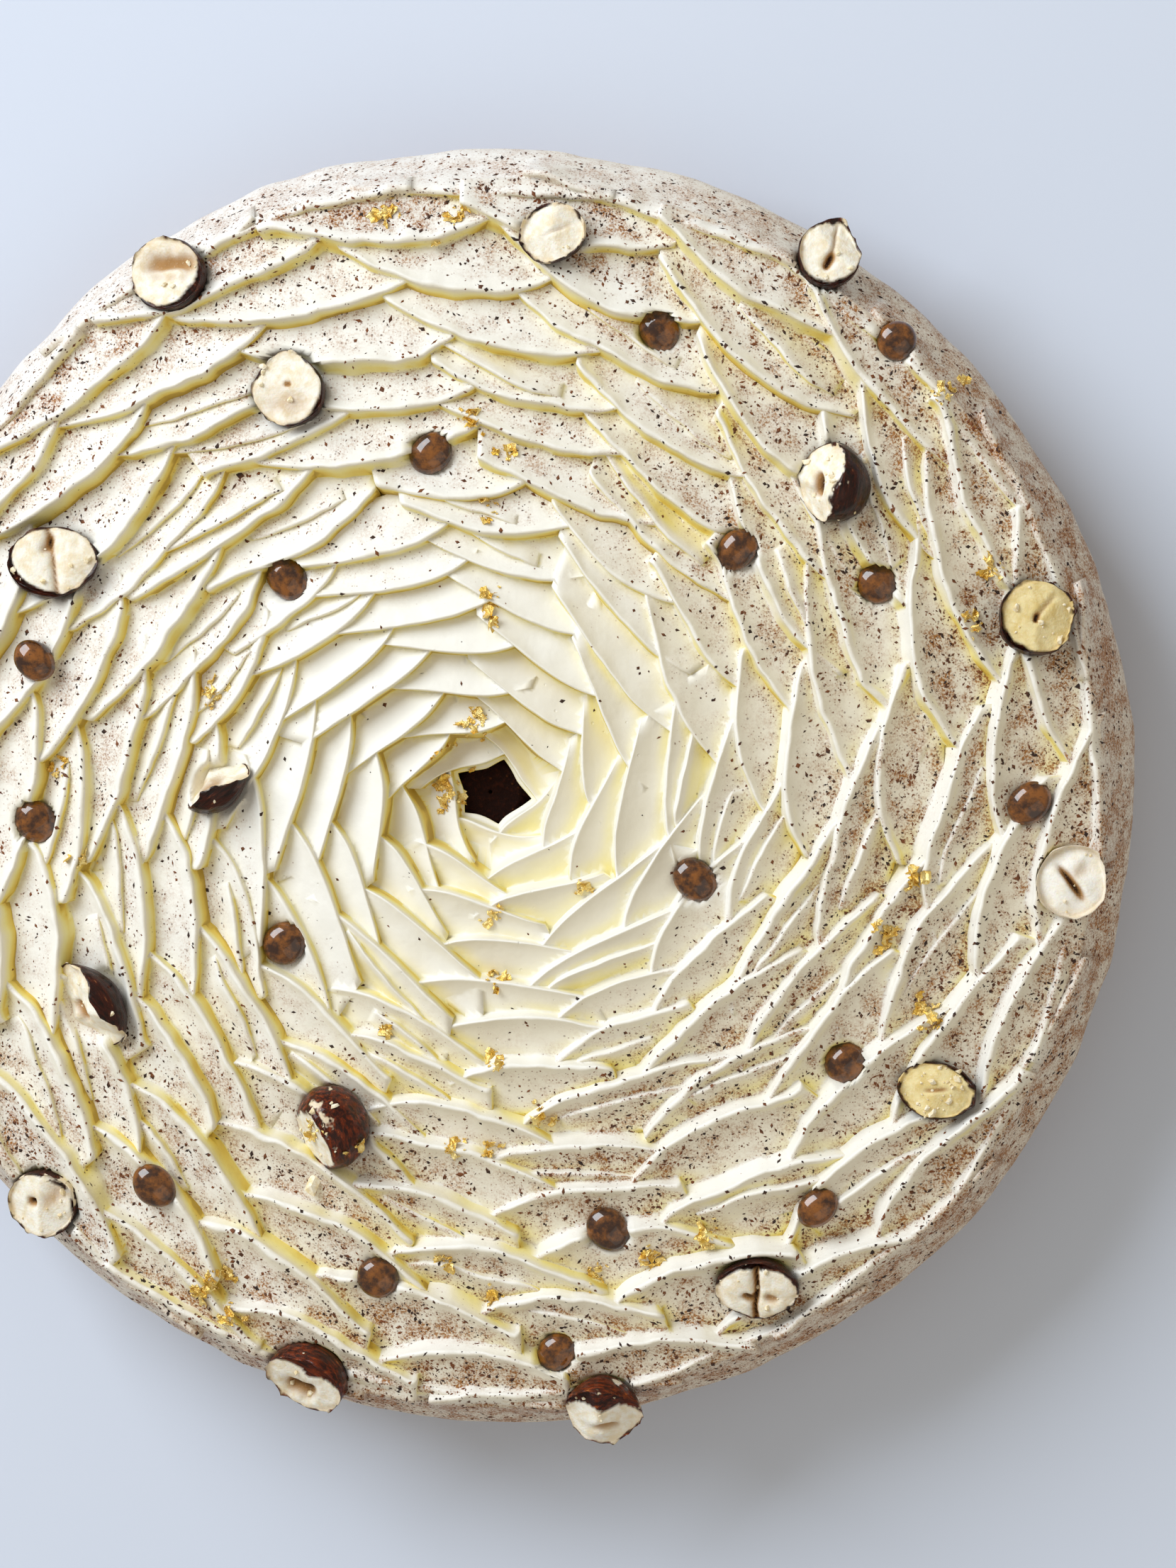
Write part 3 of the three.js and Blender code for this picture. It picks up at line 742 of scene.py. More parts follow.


# The nuts in the order of their nodes, with the sizes and cuts that they have in the solid model;
# the nodes' boxes give their places. turn is the direction of the long side and facing the one to
# which the cut side leans. keep is how much higher the cut runs, broken an uneven cut, tip how
# pointed an end is, sides the number of facets of the cut and cleft the direction of a groove
# across it. cover gives the direction and width of skin that reaches over the edge, worn how much
# skin is rubbed off, red a redder skin, yellow a yellower nut and pale one without skin. marks are
# pits and grooves: place from the nut's middle, half width, half length, direction, depth and
# darkness, which is their brown together with painted shade.
NUTS = [
    dict(size=(14.6, 13.8), turn=130, leaning=20, facing=140, cover=(-35, 0.26), crumbs=5,
         marks=[(0.2, 2, 2.6, 5, 8, 2.2, 0.62), (0, 0.6, 0.7, 3.6, 4, -0.5, -0.3)]),
    dict(size=(12.4, 11), turn=20, leaning=10, facing=110, sides=3, cover=(-70, 0.07), worn=0.2,
         marks=[(1, 0.6, 0.4, 3, 24, 0.5, 0.25)], crumbs=2),
    dict(size=(13.6, 12.4), turn=72, leaning=24, facing=55, tip=0.5, sides=2, cover=(-95, 0.16),
         marks=[(0.2, -1.4, 0.75, 1.5, 60, 1.8, 1), (1.2, 2.4, 0.4, 3.4, 78, 0.8, 0.35)],
         crumbs=4),
    dict(size=(14, 13.4), turn=95, leaning=12, facing=120, tip=0.4, cover=(-25, 0.12),
         marks=[(0, -2.6, 3, 4.4, 0, 0.6, 0.3), (0, 1, 0.5, 0.7, 0, 0.6, 0.75)], crumbs=4),
    dict(size=(14.4, 14.2), turn=80, leaning=36, facing=175, keep=2.5, broken=1,
         marks=[(-2.9, -0.2, 0.8, 2, 88, 2.4, 1)], crumbs=16),
    dict(size=(16.4, 13), turn=5, leaning=14, facing=70, cleft=100, shallow=1, cover=(-140, 0.22),
         marks=[(-0.8, 3.4, 0.8, 1.8, 60, 1.4, 0.5)], crumbs=9),
    dict(size=(14.4, 13.8), turn=30, leaning=20, facing=45, sides=2, yellow=1, cover=(-140, 0.18),
         marks=[(0, 0.2, 0.5, 0.9, 80, 1.6, 1), (1.5, 2.2, 0.5, 2.4, 50, 0.8, 0.35)], crumbs=12),
    dict(size=(13.2, 10.4), turn=35, leaning=58, facing=125, broken=1,
         marks=[(-1.6, 0.8, 1.2, 3, 30, 0.7, 0.45)], crumbs=2),
    dict(size=(13.4, 12.6), turn=60, leaning=8, facing=40, pale=1, sides=4,
         marks=[(0.2, -0.2, 0.6, 3.6, -52, 2.6, 1), (1.6, 2, 1.4, 2.2, 30, 0.9, 0.25)], crumbs=6),
    dict(size=(17.6, 12.6), turn=130, leaning=48, facing=215, broken=1,
         marks=[(-2.2, -1.4, 0.9, 2, 120, 1.6, 0.7)], crumbs=5),
    dict(size=(14.4, 10.8), turn=168, leaning=8, facing=60, yellow=1, sides=3, cover=(30, 0.1),
         marks=[(0, 0.3, 0.4, 2.2, 5, 0.7, 0.6)], crumbs=34),
    dict(size=(16.4, 14.4), turn=75, leaning=62, facing=212, keep=3, red=1, marks=[], crumbs=10),
    dict(size=(14.2, 13.4), turn=40, leaning=22, facing=225, sides=2, cover=(40, 0.26), worn=0.2,
         marks=[(-1.8, 0.4, 0.85, 0.9, 0, 2, 1), (2.4, 1.6, 1.6, 3, 60, 0.4, 0.35)], crumbs=8),
    dict(size=(15, 12.4), turn=0, leaning=20, facing=262, cleft=88, cover=(90, 0.26),
         marks=[(-1.7, -1.8, 0.7, 1.1, -40, 1.6, 0.9), (2.6, -2, 0.8, 1.3, -20, 1.3, 0.55)],
         crumbs=8),
    dict(size=(16, 14.6), turn=150, leaning=44, facing=240, red=1, cover=(60, 0.62),
         marks=[(-1.6, -2.4, 1.5, 2.9, -20, 3.4, 1)], crumbs=4),
    dict(size=(14.2, 14.8), turn=5, leaning=46, facing=265, keep=1, broken=1, red=1, worn=0.1,
         cover=(85, 0.8), marks=[(0.4, -3.4, 0.8, 2.4, 10, 1.2, 0.5)], crumbs=5),
]
NUT_NODES = [f"hazelnut_{number:02d}" for number in range(1, len(NUTS) + 1)]
DOT_NODES = [f"praline_dot_{number:02d}" for number in range(1, 18)]
TOPPINGS = NUT_NODES + DOT_NODES

# How far over a nut's middle its cut runs at least, and how deep a cleft or a shallow one is.
BELLY = 1.1
CLEFT = 2.3
SHALLOW_CLEFT = 1.1
BALL = ball(5)

# Lumps on the nuts: their size, and the number that is added to the nut's for their seed.
NUT_LUMPS = dict(
    wrinkle=(1.1, 0),
    swelling=(4, 1),
    grain=(1.6, 2),
    fine_grain=(0.6, 3),
    wave=(4.5, 4),
    break_line=(3.2, 5),
    cleft=(4, 6),
    pit=(1.8, 6),
    fray=(1.1, 9),
    wide_fray=(3, 10),
    cover=(1.6, 11),
    torn=(1.3, 12),
)


def nut_lumps(name, points, seed):
    size, more = NUT_LUMPS[name]
    return lumps(points, size, seed + more)


def nut_turn(nut):
    hinge = math.radians(nut["facing"] + 90)
    axis = Vector((math.cos(hinge), math.sin(hinge), 0))
    lean = Matrix.Rotation(math.radians(nut["leaning"]), 3, axis)
    return np.array(lean @ Matrix.Rotation(math.radians(nut["turn"]), 3, "Z"))


def off_line(points, nut, name):
    """Distance of points from a line through the middle, in a direction given in the plan."""
    turn = math.radians(nut[name] - nut["turn"])
    return -math.sin(turn) * points[:, 0] + math.cos(turn) * points[:, 1]


def cut_relief(nut, points, offset, rim, seed):
    """Height of the cut side over its plane, and how dark its pits and clefts are: their brown and
    painted shade.
    """
    x, y, _ = points.T
    grain = 0.1 * nut_lumps("grain", points, seed) + 0.05 * nut_lumps("fine_grain", points, seed)
    relief = grain + 0.35 * nut_lumps("wave", points * np.array([1, 1, 0]), seed)
    hollow_shade = np.zeros(len(points))
    draw = drawer(seed)
    count = nut.get("sides", 0)
    if count:
        start = 360 * draw()
        steps = [number + spread(draw, 0.2) for number in range(count)]
        turns = [math.radians(start + step * 360 / count) for step in steps]
        tilt = 0.45 if nut.get("pale") else 0.3
        planes = [0.9 - tilt * (x * math.cos(turn) + y * math.sin(turn)) for turn in turns]
        relief = relief + np.minimum.reduce(planes + [np.full(len(x), 0.9)])
    if "cleft" in nut:
        depth = SHALLOW_CLEFT if nut.get("shallow") else CLEFT
        off = off_line(points, nut, "cleft") + 0.5 * nut_lumps("cleft", points, seed)
        gap = np.exp(-((off / 0.5) ** 2))
        relief = relief + 1.0 * (1 - rim**2) * (1 - np.exp(-np.abs(off) / 1.2)) - depth * gap
        # Painted shade in the gap of the cleft, darker as the cleft is deeper.
        hollow_shade = np.maximum(hollow_shade, gap * depth / CLEFT)
    for at_x, at_y, width, length, facing, depth, dark in nut["marks"]:
        turn = math.radians(facing)
        side_x, side_y = offset[:, 0] - at_x, offset[:, 1] - at_y
        along = (side_x * math.cos(turn) + side_y * math.sin(turn)) / length
        across = (side_y * math.cos(turn) - side_x * math.sin(turn)) / width
        pit = np.exp(-((across + 0.25 * nut_lumps("pit", points, seed)) ** 2) - along**4)
        relief = relief - depth * pit
        hollow_shade = np.clip(hollow_shade + dark * pit, 0, 1)
    return relief, hollow_shade


def covered_edge(nut, offset, rim, points, seed):
    """Where skin reaches over the edge of the cut, and how far the surface falls under it."""
    facing, reach = nut["cover"]
    away = np.degrees(np.arctan2(offset[:, 1], offset[:, 0])) - facing
    limit = 1 - reach * np.maximum(0, np.cos(np.radians(away)))
    limit = limit - 0.04 * nut_lumps("cover", points, seed)
    over = blend_between(rim, limit, limit + 0.03) * (np.abs((away + 180) % 360 - 180) < 85)
    return over, 1.6 * np.maximum(0, rim - limit + 0.06) / (reach + 0.06) * over


def nut_surface(nut, seed):
    """Points of a cut nut before it is turned, with its skin, its hollows' brown and painted shade,
    and its rim.
    """
    unit = BALL[0]
    length, width = nut["size"]
    slim = 1 - nut.get("tip", 0.12) * np.maximum(0, unit[:, 0]) ** 1.5
    points = unit * np.array([length / 2, width / 2, width / 2])
    points[:, 1:] *= slim[:, None]
    wrinkle = nut_lumps("wrinkle", points * np.array([0.35, 1, 1]), seed)
    points += unit * (0.14 * wrinkle + 0.35 * nut_lumps("swelling", points, seed))[:, None]
    points[:, 2] -= BELLY
    x, y, z = points.T
    edge = z - nut.get("keep", 0)
    if nut.get("broken"):
        facets = np.maximum(0.55 * (x + 1) + 0.2 * y, -0.5 * (x - 2) + 0.35 * y - 1.2)
        edge = edge + np.clip(facets - 0.8, -1.2, 2.4)
        edge = edge + 0.5 * nut_lumps("break_line", points, seed)
    cut = edge > 0
    rim = np.minimum(1, np.hypot(x / (length / 2), y / (width / 2)))
    points[:, 2] = np.where(cut, z - edge, z)
    turned = points @ nut_turn(nut).T
    offset = turned - (turned.min(0) + turned.max(0)) / 2
    relief, hollow_shade = cut_relief(nut, points, offset, rim, seed)
    fray = 0.7 * nut_lumps("fray", points, seed) + 0.5 * nut_lumps("wide_fray", points, seed)
    skin = 1 - blend_between(edge + fray, 0.45, 0.9)
    if "cover" in nut:
        over, fall = covered_edge(nut, offset, rim, points, seed)
        skin = np.maximum(skin, over)
        relief = relief - fall
    inward = blend_between(edge, 0.2, 1.6)
    torn = np.exp(-(((edge - 0.2) / 0.45) ** 2)) * np.maximum(0, nut_lumps("torn", points, seed))
    points[:, 2] += np.where(cut, relief * inward, 0) + 0.8 * torn
    points[:, :2] *= (1 + 0.06 * torn)[:, None]
    return points, np.clip(skin + 0.8 * torn, 0, 1), hollow_shade * cut, rim


def nut_piece(index):
    nut, node = NUTS[index], NUT_NODES[index]
    points, skin, hollow_shade, rim = nut_surface(nut, SEEDS["nuts"] + 10 * index)
    turned = points @ nut_turn(nut).T
    middle, size = topping_middle(node)
    turned = turned - (turned.min(0) + turned.max(0)) / 2 + middle
    extent = turned.max(0) - turned.min(0)
    turned = (turned - middle) * np.minimum(1, size / extent) + middle
    piece = new_piece(node + "_cut", turned, BALL[1])
    for name, values in dict(skin=skin, hollow_shade=hollow_shade, rim=rim, local=points).items():
        set_value(piece, name, values)
    piece.data.materials.append(nut_finish(nut, index))
    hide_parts(node)
    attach(piece, "root")
    return piece


# ---- shader maths --------------------------------------------------------------------------


class Value:
    """An output of a node, which stands in a sum as a number does."""

    def __init__(self, finish, socket):
        self.finish = finish
        self.socket = socket

    def sum(self, operation, *terms):
        return self.finish.node("ShaderNodeMath", {"operation": operation}, dict(enumerate(terms)))

    def __add__(self, other):
        return self.sum("ADD", self, other)

    __radd__ = __add__

    def __sub__(self, other):
        return self.sum("SUBTRACT", self, other)

    def __rsub__(self, other):
        return self.sum("SUBTRACT", other, self)

    def __mul__(self, other):
        return self.sum("MULTIPLY", self, other)

    __rmul__ = __mul__

    def between(self, low, high):
        """0 below low, 1 above high and smooth between them."""
        sockets = {"Value": self, "From Min": low, "From Max": high}
        return self.finish.node("ShaderNodeMapRange", {"interpolation_type": "SMOOTHSTEP"}, sockets)

    def clipped(self):
        return self.sum("MAXIMUM", self.sum("MINIMUM", self, 1), 0)


class Finish:
    """A material and the nodes in it."""

    def __init__(self, name):
        self.material = bpy.data.materials.new(name)
        self.material.use_nodes = True
        self.tree = self.material.node_tree
        self.tree.nodes.clear()

    def node(self, kind, settings=None, sockets=None, output=0):
        node = self.tree.nodes.new(kind)
        for name, setting in (settings or {}).items():
            setattr(node, name, setting)
        for key, value in (sockets or {}).items():
            if isinstance(value, Value):
                self.tree.links.new(value.socket, node.inputs[key])
            else:
                node.inputs[key].default_value = value
        return Value(self, node.outputs[output]) if node.outputs else node

    def place(self):
        return self.node("ShaderNodeTexCoord", output="Object")

    def value(self, name):
        return self.node("ShaderNodeAttribute", {"attribute_name": name}, output="Fac")

    def vector(self, name):
        return self.node("ShaderNodeAttribute", {"attribute_name": name}, output="Vector")

    def noise(self, place, scale, detail=2, roughness=0.5):
        """Noise round 0.5 with scale lumps along each unit of place."""
        sockets = {"Vector": place, "Scale": scale, "Detail": detail, "Roughness": roughness}
        return self.node("ShaderNodeTexNoise", None, sockets)

    def mixed(self, factor, first, second):
        """Colour between two colours, each a link or the name of one in COLOURS."""
        first, second = (colour(c) if isinstance(c, str) else c for c in (first, second))
        sockets = {0: factor, 6: first, 7: second}
        return self.node("ShaderNodeMix", {"data_type": "RGBA"}, sockets, 2)

    def specks(self, place, size, radius, share):
        """1 on round specks in cells of the given size, in the given share of the cells."""
        cell = {"Vector": place, "Scale": 1 / (size * MM)}
        near = self.node("ShaderNodeTexVoronoi", None, cell, "Distance")
        colour = self.node("ShaderNodeTexVoronoi", None, cell, "Color")
        chance = self.node("ShaderNodeSeparateColor", None, {0: colour}, 0)
        other = self.node("ShaderNodeSeparateColor", None, {0: colour}, 1)
        round_speck = 1 - near.between(radius / size * 0.6, radius / size * 1.3)
        present = (share - chance).between(0, 0.05)
        return round_speck * present * (0.55 + 0.45 * other)

    def bumped(self, height, depth, normal=None):
        """Normals for a relief of the given depth in millimetres."""
        sockets = {"Height": height, "Distance": depth * MM, "Strength": 1.0}
        if normal is not None:
            sockets["Normal"] = normal
        return self.node("ShaderNodeBump", None, sockets)

    def show(self, **sockets):
        named = {name.replace("_", " "): value for name, value in sockets.items()}
        surface = self.node("ShaderNodeBsdfPrincipled", None, named)
        self.node("ShaderNodeOutputMaterial", None, {"Surface": surface})
        return self.material


# Colours as the eye sees them, 0 to 255.
COLOURS = dict(
    cream=(242, 241, 235), cream_in_shade=(239, 233, 214), cream_hollow_shade=(242, 229, 138),
    cream_deep_shade=(228, 192, 62), cream_crease_shade=(130, 92, 30),
    cocoa_haze_and_shade=(160, 106, 46), cocoa_fine=(132, 76, 32), cocoa_coarse=(88, 46, 18),
    flesh=(250, 247, 236), flesh_warm=(236, 222, 192),
    yellow_flesh=(240, 224, 172), yellow_flesh_warm=(222, 198, 132),
    pale_flesh=(252, 250, 244), pale_flesh_warm=(243, 236, 218),
    flesh_edge=(214, 176, 112), pit_brown_and_shade=(176, 134, 84), pit_deep_shade=(58, 30, 14),
    flesh_light=(252, 248, 234),
    skin=(20, 6, 3), skin_light=(74, 26, 10), skin_streak=(156, 98, 56),
    red_skin=(44, 13, 5), red_skin_light=(140, 54, 12), red_skin_streak=(206, 138, 66),
    crumb=(250, 243, 222), crumb_warm=(232, 212, 166),
    glaze=(50, 22, 5), glaze_light=(136, 80, 24), glaze_spot=(34, 18, 9),
    praline=(24, 6, 2), praline_light=(52, 20, 8), praline_nut=(96, 54, 26),
    gold=(234, 192, 84), gold_glint=(255, 236, 168), gold_crease_shade=(120, 82, 18),
    speck=(40, 18, 7), speck_light=(120, 66, 26),
    crust=(198, 156, 106), crust_dark=(158, 112, 66), crust_crumb=(112, 66, 30),
    table=(210, 220, 238), table_light=(214, 223, 240),
)


def colour(name):
    """A colour of the list for a socket."""
    seen = np.array(COLOURS[name]) / 255
    linear = np.where(seen <= 0.04045, seen / 12.92, ((seen + 0.055) / 1.055) ** 2.4)
    return (*linear, 1.0)


# ---- finishes ------------------------------------------------------------------------------


def cream_finish():
    """Cream with painted shade in its hollows and on faces turned from the window, under cocoa
    dust: haze, fine and coarse specks.
    """
    finish = Finish("whipped_cream")
    place = finish.place()
    hollow_shade = finish.value("hollow_shade")
    dust_and_shade = finish.value("dust_and_shade")
    side = finish.value("side")
    soft = finish.noise(place, 90, 2)
    shade = (hollow_shade + (soft - 0.5) * 0.1).between(0.05, 0.85)
    # Painted shade: faces turned from the window get a warmer cream.
    base = finish.mixed(finish.value("turned"), "cream", "cream_in_shade")
    # Painted shade: hollows and creases that see little sky turn yellow, then deeper yellow, then
    # olive brown at their foot.
    base = finish.mixed(shade, base, "cream_hollow_shade")
    base = finish.mixed(hollow_shade.between(0.6, 1.0) * 0.9, base, "cream_deep_shade")
    base = finish.mixed(hollow_shade.between(0.9, 1.0) * 0.5, base, "cream_crease_shade")
    cloud = finish.noise(place, 260, 3, 0.6).between(0.35, 0.7)
    powder = finish.noise(place, 2300, 3, 0.7).between(0.4, 0.65)
    # The haze is cocoa dust, and painted shade where it is heavier away from the window.
    haze_and_shade = dust_and_shade * 1.5 * (0.12 + 0.88 * cloud) * (0.2 + 0.8 * powder)
    haze_and_shade = haze_and_shade + side * 1.7 * (0.3 + 0.6 * cloud) * (0.35 + 0.65 * powder)
    base = finish.mixed(haze_and_shade.clipped(), base, "cocoa_haze_and_shade")
    thick = (dust_and_shade + side * 0.9) * (0.5 + 0.7 * cloud)
    fine = finish.specks(place, 0.42, 0.15, thick * 0.9)
    base = finish.mixed(fine * 0.75, base, "cocoa_fine")
    coarse = finish.specks(place, 0.9, 0.22, thick * 0.7)
    base = finish.mixed(coarse * 0.85, base, "cocoa_coarse")
    pits = finish.specks(place, 2.1, 0.22, 0.22)
    grain = finish.noise(place, 1500, 3, 0.6)
    relief = grain * 0.35 - pits
    waves = finish.noise(place, 240, 2)
    normal = finish.bumped(relief, 0.1, finish.bumped(waves, 0.25))
    return finish.show(
        Base_Color=base,
        Roughness=0.48 + 0.2 * (fine + coarse),
        Specular_IOR_Level=0.4,
        Normal=normal,
    )


def nut_finish(nut, index):
    """Flesh with its grain and its pits, brown and darkened with painted shade, and streaked skin
    that is rubbed off in patches.
    """
    finish = Finish(f"nut_flesh_and_skin_{index + 1:02d}")
    place = finish.vector("local")
    skin = finish.value("skin")
    hollow_shade = finish.value("hollow_shade")
    rim = finish.value("rim")
    kind = "pale_" if nut.get("pale") else "yellow_" if nut.get("yellow") else ""
    grain = finish.noise(place, 0.5, 4, 0.6)
    fine = finish.noise(place, 2.2, 3, 0.6)
    flesh = finish.mixed(grain.between(0.35, 0.7), kind + "flesh", kind + "flesh_warm")
    flesh = finish.mixed(rim.between(0.8, 0.98) * 0.4, flesh, "flesh_edge")
    # Pits and clefts: their brown, with painted shade that turns nearly black where they are
    # deepest.
    flesh = finish.mixed(hollow_shade.between(0.0, 0.6), flesh, "pit_brown_and_shade")
    flesh = finish.mixed(hollow_shade.between(0.5, 1.0), flesh, "pit_deep_shade")
    flesh = finish.mixed((fine - 0.58).between(0, 0.2) * 0.45, flesh, "flesh_light")
    stretch = {0: place, 1: (0.3, 1.5, 1.5)}
    stretched = finish.node("ShaderNodeVectorMath", {"operation": "MULTIPLY"}, stretch)
    streaks = finish.noise(stretched, 0.8, 5, 0.65)
    if nut.get("red"):
        bark = finish.mixed(streaks.between(0.4, 0.75), "red_skin", "red_skin_light")
        bark = finish.mixed((streaks - 0.64).between(0, 0.08) * 0.6, bark, "red_skin_streak")
    else:
        bark = finish.mixed(streaks.between(0.35, 0.75), "skin", "skin_light")
        bark = finish.mixed((streaks - 0.62).between(0, 0.1) * 0.6, bark, "skin_streak")
    patches = finish.noise(place, 0.22, 3, 0.55)
    limit = 0.2 if nut.get("pale") else 0.64 - nut.get("worn", 0) * 0.6
    bare = patches.between(limit, limit + 0.05)
    cover = skin * (1 - bare * 0.92)
    base = finish.mixed(cover, flesh, bark)
    normal = finish.bumped(fine * 0.4 + streaks * cover, 0.3)
    return finish.show(
        Base_Color=base,
        Roughness=0.5 - 0.1 * cover,
        Specular_IOR_Level=0.1,
        Coat_Weight=0.35 * cover,
        Coat_Roughness=0.04,
        Subsurface_Weight=0.1,
        Subsurface_Radius=(0.0025, 0.0015, 0.0007),
        Subsurface_Scale=1.0,
        Normal=normal,
    )


def crumb_finish():
    finish = Finish("nut_crumbs")
    grain = finish.noise(finish.place(), 900, 3, 0.6)
    base = finish.mixed(grain.between(0.35, 0.65), "crumb", "crumb_warm")
    normal = finish.bumped(grain, 0.1)
    return finish.show(Base_Color=base, Roughness=0.6 + 0.1 * grain, Normal=normal)


def dot_finish():
    finish = Finish("praline_glaze")
    place = finish.place()
    cloud = finish.noise(place, 420, 4, 0.65)
    fine = finish.noise(place, 1700, 3, 0.6)
    base = finish.mixed(cloud.between(0.35, 0.68), "glaze", "glaze_light")
    base = finish.mixed((fine - 0.58).between(0, 0.14) * 0.7, base, "glaze_spot")
    normal = finish.bumped(cloud + fine * 0.15, 0.05)
    return finish.show(
        Base_Color=base,
        Roughness=0.3 + 0.1 * fine,
        Specular_IOR_Level=0.1,
        Coat_Weight=0.9,
        Coat_IOR=1.65,
        Coat_Roughness=0.04,
        Normal=normal,
    )


def praline_finish():
    finish = Finish("dark_praline")
    place = finish.place()
    grain = finish.noise(place, 1100, 4, 0.7)
    bits = finish.specks(place, 1.0, 0.3, 0.25)
    base = finish.mixed(grain.between(0.45, 0.8), "praline", "praline_light")
    base = finish.mixed(bits * 0.55, base, "praline_nut")
    return finish.show(
        Base_Color=base,
        Roughness=0.6 + 0.25 * grain,
        Specular_IOR_Level=0.08,
        Normal=finish.bumped(grain + bits, 0.35),
    )


def gold_finish():
    finish = Finish("gold_leaf")
    place = finish.place()
    crease = finish.noise(place, 1600, 4, 0.7)
    wide = finish.noise(place, 500, 2)
    # Painted highlight and shade: lighter patches stand for glints on the crumpled leaf and darker
    # ones for shade in its creases.
    base = finish.mixed(wide.between(0.3, 0.7), "gold", "gold_glint")
    base = finish.mixed((crease - 0.6).between(0, 0.15) * 0.6, base, "gold_crease_shade")
    normal = finish.bumped(crease, 0.3)
    rough = 0.24 + 0.2 * crease
    return finish.show(Base_Color=base, Metallic=0.9, Roughness=rough, Normal=normal)


def speck_finish():
    finish = Finish("cocoa_specks")
    place = finish.place()
    tone = finish.noise(place, 300, 2)
    fine = finish.noise(place, 4000, 2)
    base = finish.mixed(tone.between(0.4, 0.62), "speck", "speck_light")
    normal = finish.bumped(fine, 0.05)
    return finish.show(Base_Color=base, Roughness=0.6 + 0.2 * fine, Normal=normal)


def crust_finish():
    finish = Finish("baked_crust")
    place = finish.place()
    crumb = finish.noise(place, 700, 5, 0.7)
    patch = finish.noise(place, 60, 3)
    base = finish.mixed(patch.between(0.3, 0.7), "crust", "crust_dark")
    base = finish.mixed((crumb - 0.5).between(0, 0.3) * 0.6, base, "crust_crumb")
    normal = finish.bumped(crumb, 0.5)
    return finish.show(Base_Color=base, Roughness=0.75 + 0.15 * crumb, Normal=normal)


def table_finish():
    finish = Finish("pale_table")
    cloud = finish.noise(finish.place(), 3, 3)
    base = finish.mixed(cloud, "table", "table_light")
    return finish.show(Base_Color=base, Roughness=0.7 + 0.1 * cloud)


# ---- building the pieces -------------------------------------------------------------------

# Walls that are turned to the window stay white, and the others are painted more yellow as shade.
WINDOW_WAY = np.array([-0.56, 0.52, 0.64])

# The share of hidden sky from which the painted shade of walls and creases gets deeper, and over
# how much it does.
SHADE = dict(wall=0.22, crease=0.34, over=0.36)


def evened(piece, values, times):
    """Values at the points of a mesh, each mixed with those of its neighbours."""
    edges = np.empty(len(piece.data.edges) * 2, np.int64)
    piece.data.edges.foreach_get("vertices", edges)
    first, second = edges.reshape(-1, 2).T
    count = len(values)
    beside = np.bincount(first, minlength=count) + np.bincount(second, minlength=count)
    for _ in range(times):
        total = np.bincount(first, values[second], count)
        total = total + np.bincount(second, values[first], count)
        values = 0.4 * values + 0.6 * total / np.maximum(1, beside)
    return values


def dress_cream(part, points, heights, mean):
    """Values for the cream's finish: painted shade in hollows and on faces turned from the window,
    cocoa dust with painted shade away from the window, and the side.
    """
    cells = map_cells(points)
    raised = points[:, 2] - mean[cells[:, 0], cells[:, 1]]
    radius = np.hypot(points[:, 0], points[:, 1])
    angle = np.degrees(np.arctan2(points[:, 1], points[:, 0]))
    in_side = radius - (outer_radius(angle) - 0.8 * side_width(angle))
    normals = np.empty(len(points) * 3, np.float32)
    part.data.vertex_normals.foreach_get("vector", normals)
    normals = normals.reshape(-1, 3)
    bright = evened(part, blend_between(normals @ WINDOW_WAY, 0.3, 0.8), 2)
    shaded = evened(part, shaded_share(points, heights), 3)
    level = evened(part, normals[:, 2], 1)
    steep = 1 - blend_between(level, 0.55, 0.85)
    # Painted shade: walls turned from the window and creases that see little sky get the hollow
    # shade colours.
    wall = np.clip((shaded - SHADE["wall"]) / SHADE["over"], 0, 1) * (1 - bright) * steep
    crease = np.clip((shaded - SHADE["crease"]) / SHADE["over"], 0, 1) * (1 - 0.7 * bright)
    inside = 1 - blend_between(in_side, -1.5, 0.5)
    proud = blend_between(raised, 0.25, 1.0)
    dust_and_shade_share = dust_and_shade_at(points) * (1 - 0.9 * proud) * (0.1 + 0.9 * blend_between(level, 0.6, 0.85))
    # Painted shade: the side's cocoa haze is heavier on the side turned from the window.
    side_shade_from_window = 0.4 + 0.6 * blend_between(0.8 * points[:, 0] - 0.6 * points[:, 1], -60, 60)
    set_value(part, "hollow_shade", np.maximum(wall, 0.7 * crease) * inside)
    # Painted shade: how far each face is turned from the window.
    set_value(part, "turned", 1 - bright)
    set_value(part, "dust_and_shade", dust_and_shade_share)
    set_value(part, "side", side_shade_from_window * blend_between(in_side, -0.6, 1.8))


def build_cream():
    """The three parts of the cream, pressed down under the toppings."""
    parts = [cream_part(name) for name in PARTS]
    clouds = []
    for part in parts:
        points = points_of(part)
        for node in TOPPINGS:
            middle, size = topping_middle(node)
            points = press(points, middle, size / 2)
        move_points(part, points)
        clouds.append(points)
    heights = height_map(clouds)
    mean = blurred(heights, MEAN_CELLS)
    look = cream_finish()
    for part, points in zip(parts, clouds):
        dress_cream(part, points, heights, mean)
        shade_smooth(part.data)
        part.data.materials.clear()
        part.data.materials.append(look)
        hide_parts("piped_cream")
        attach(part, "root")
    return parts


# Rays for the surface start so high, in metres.
RAY_START = 0.1


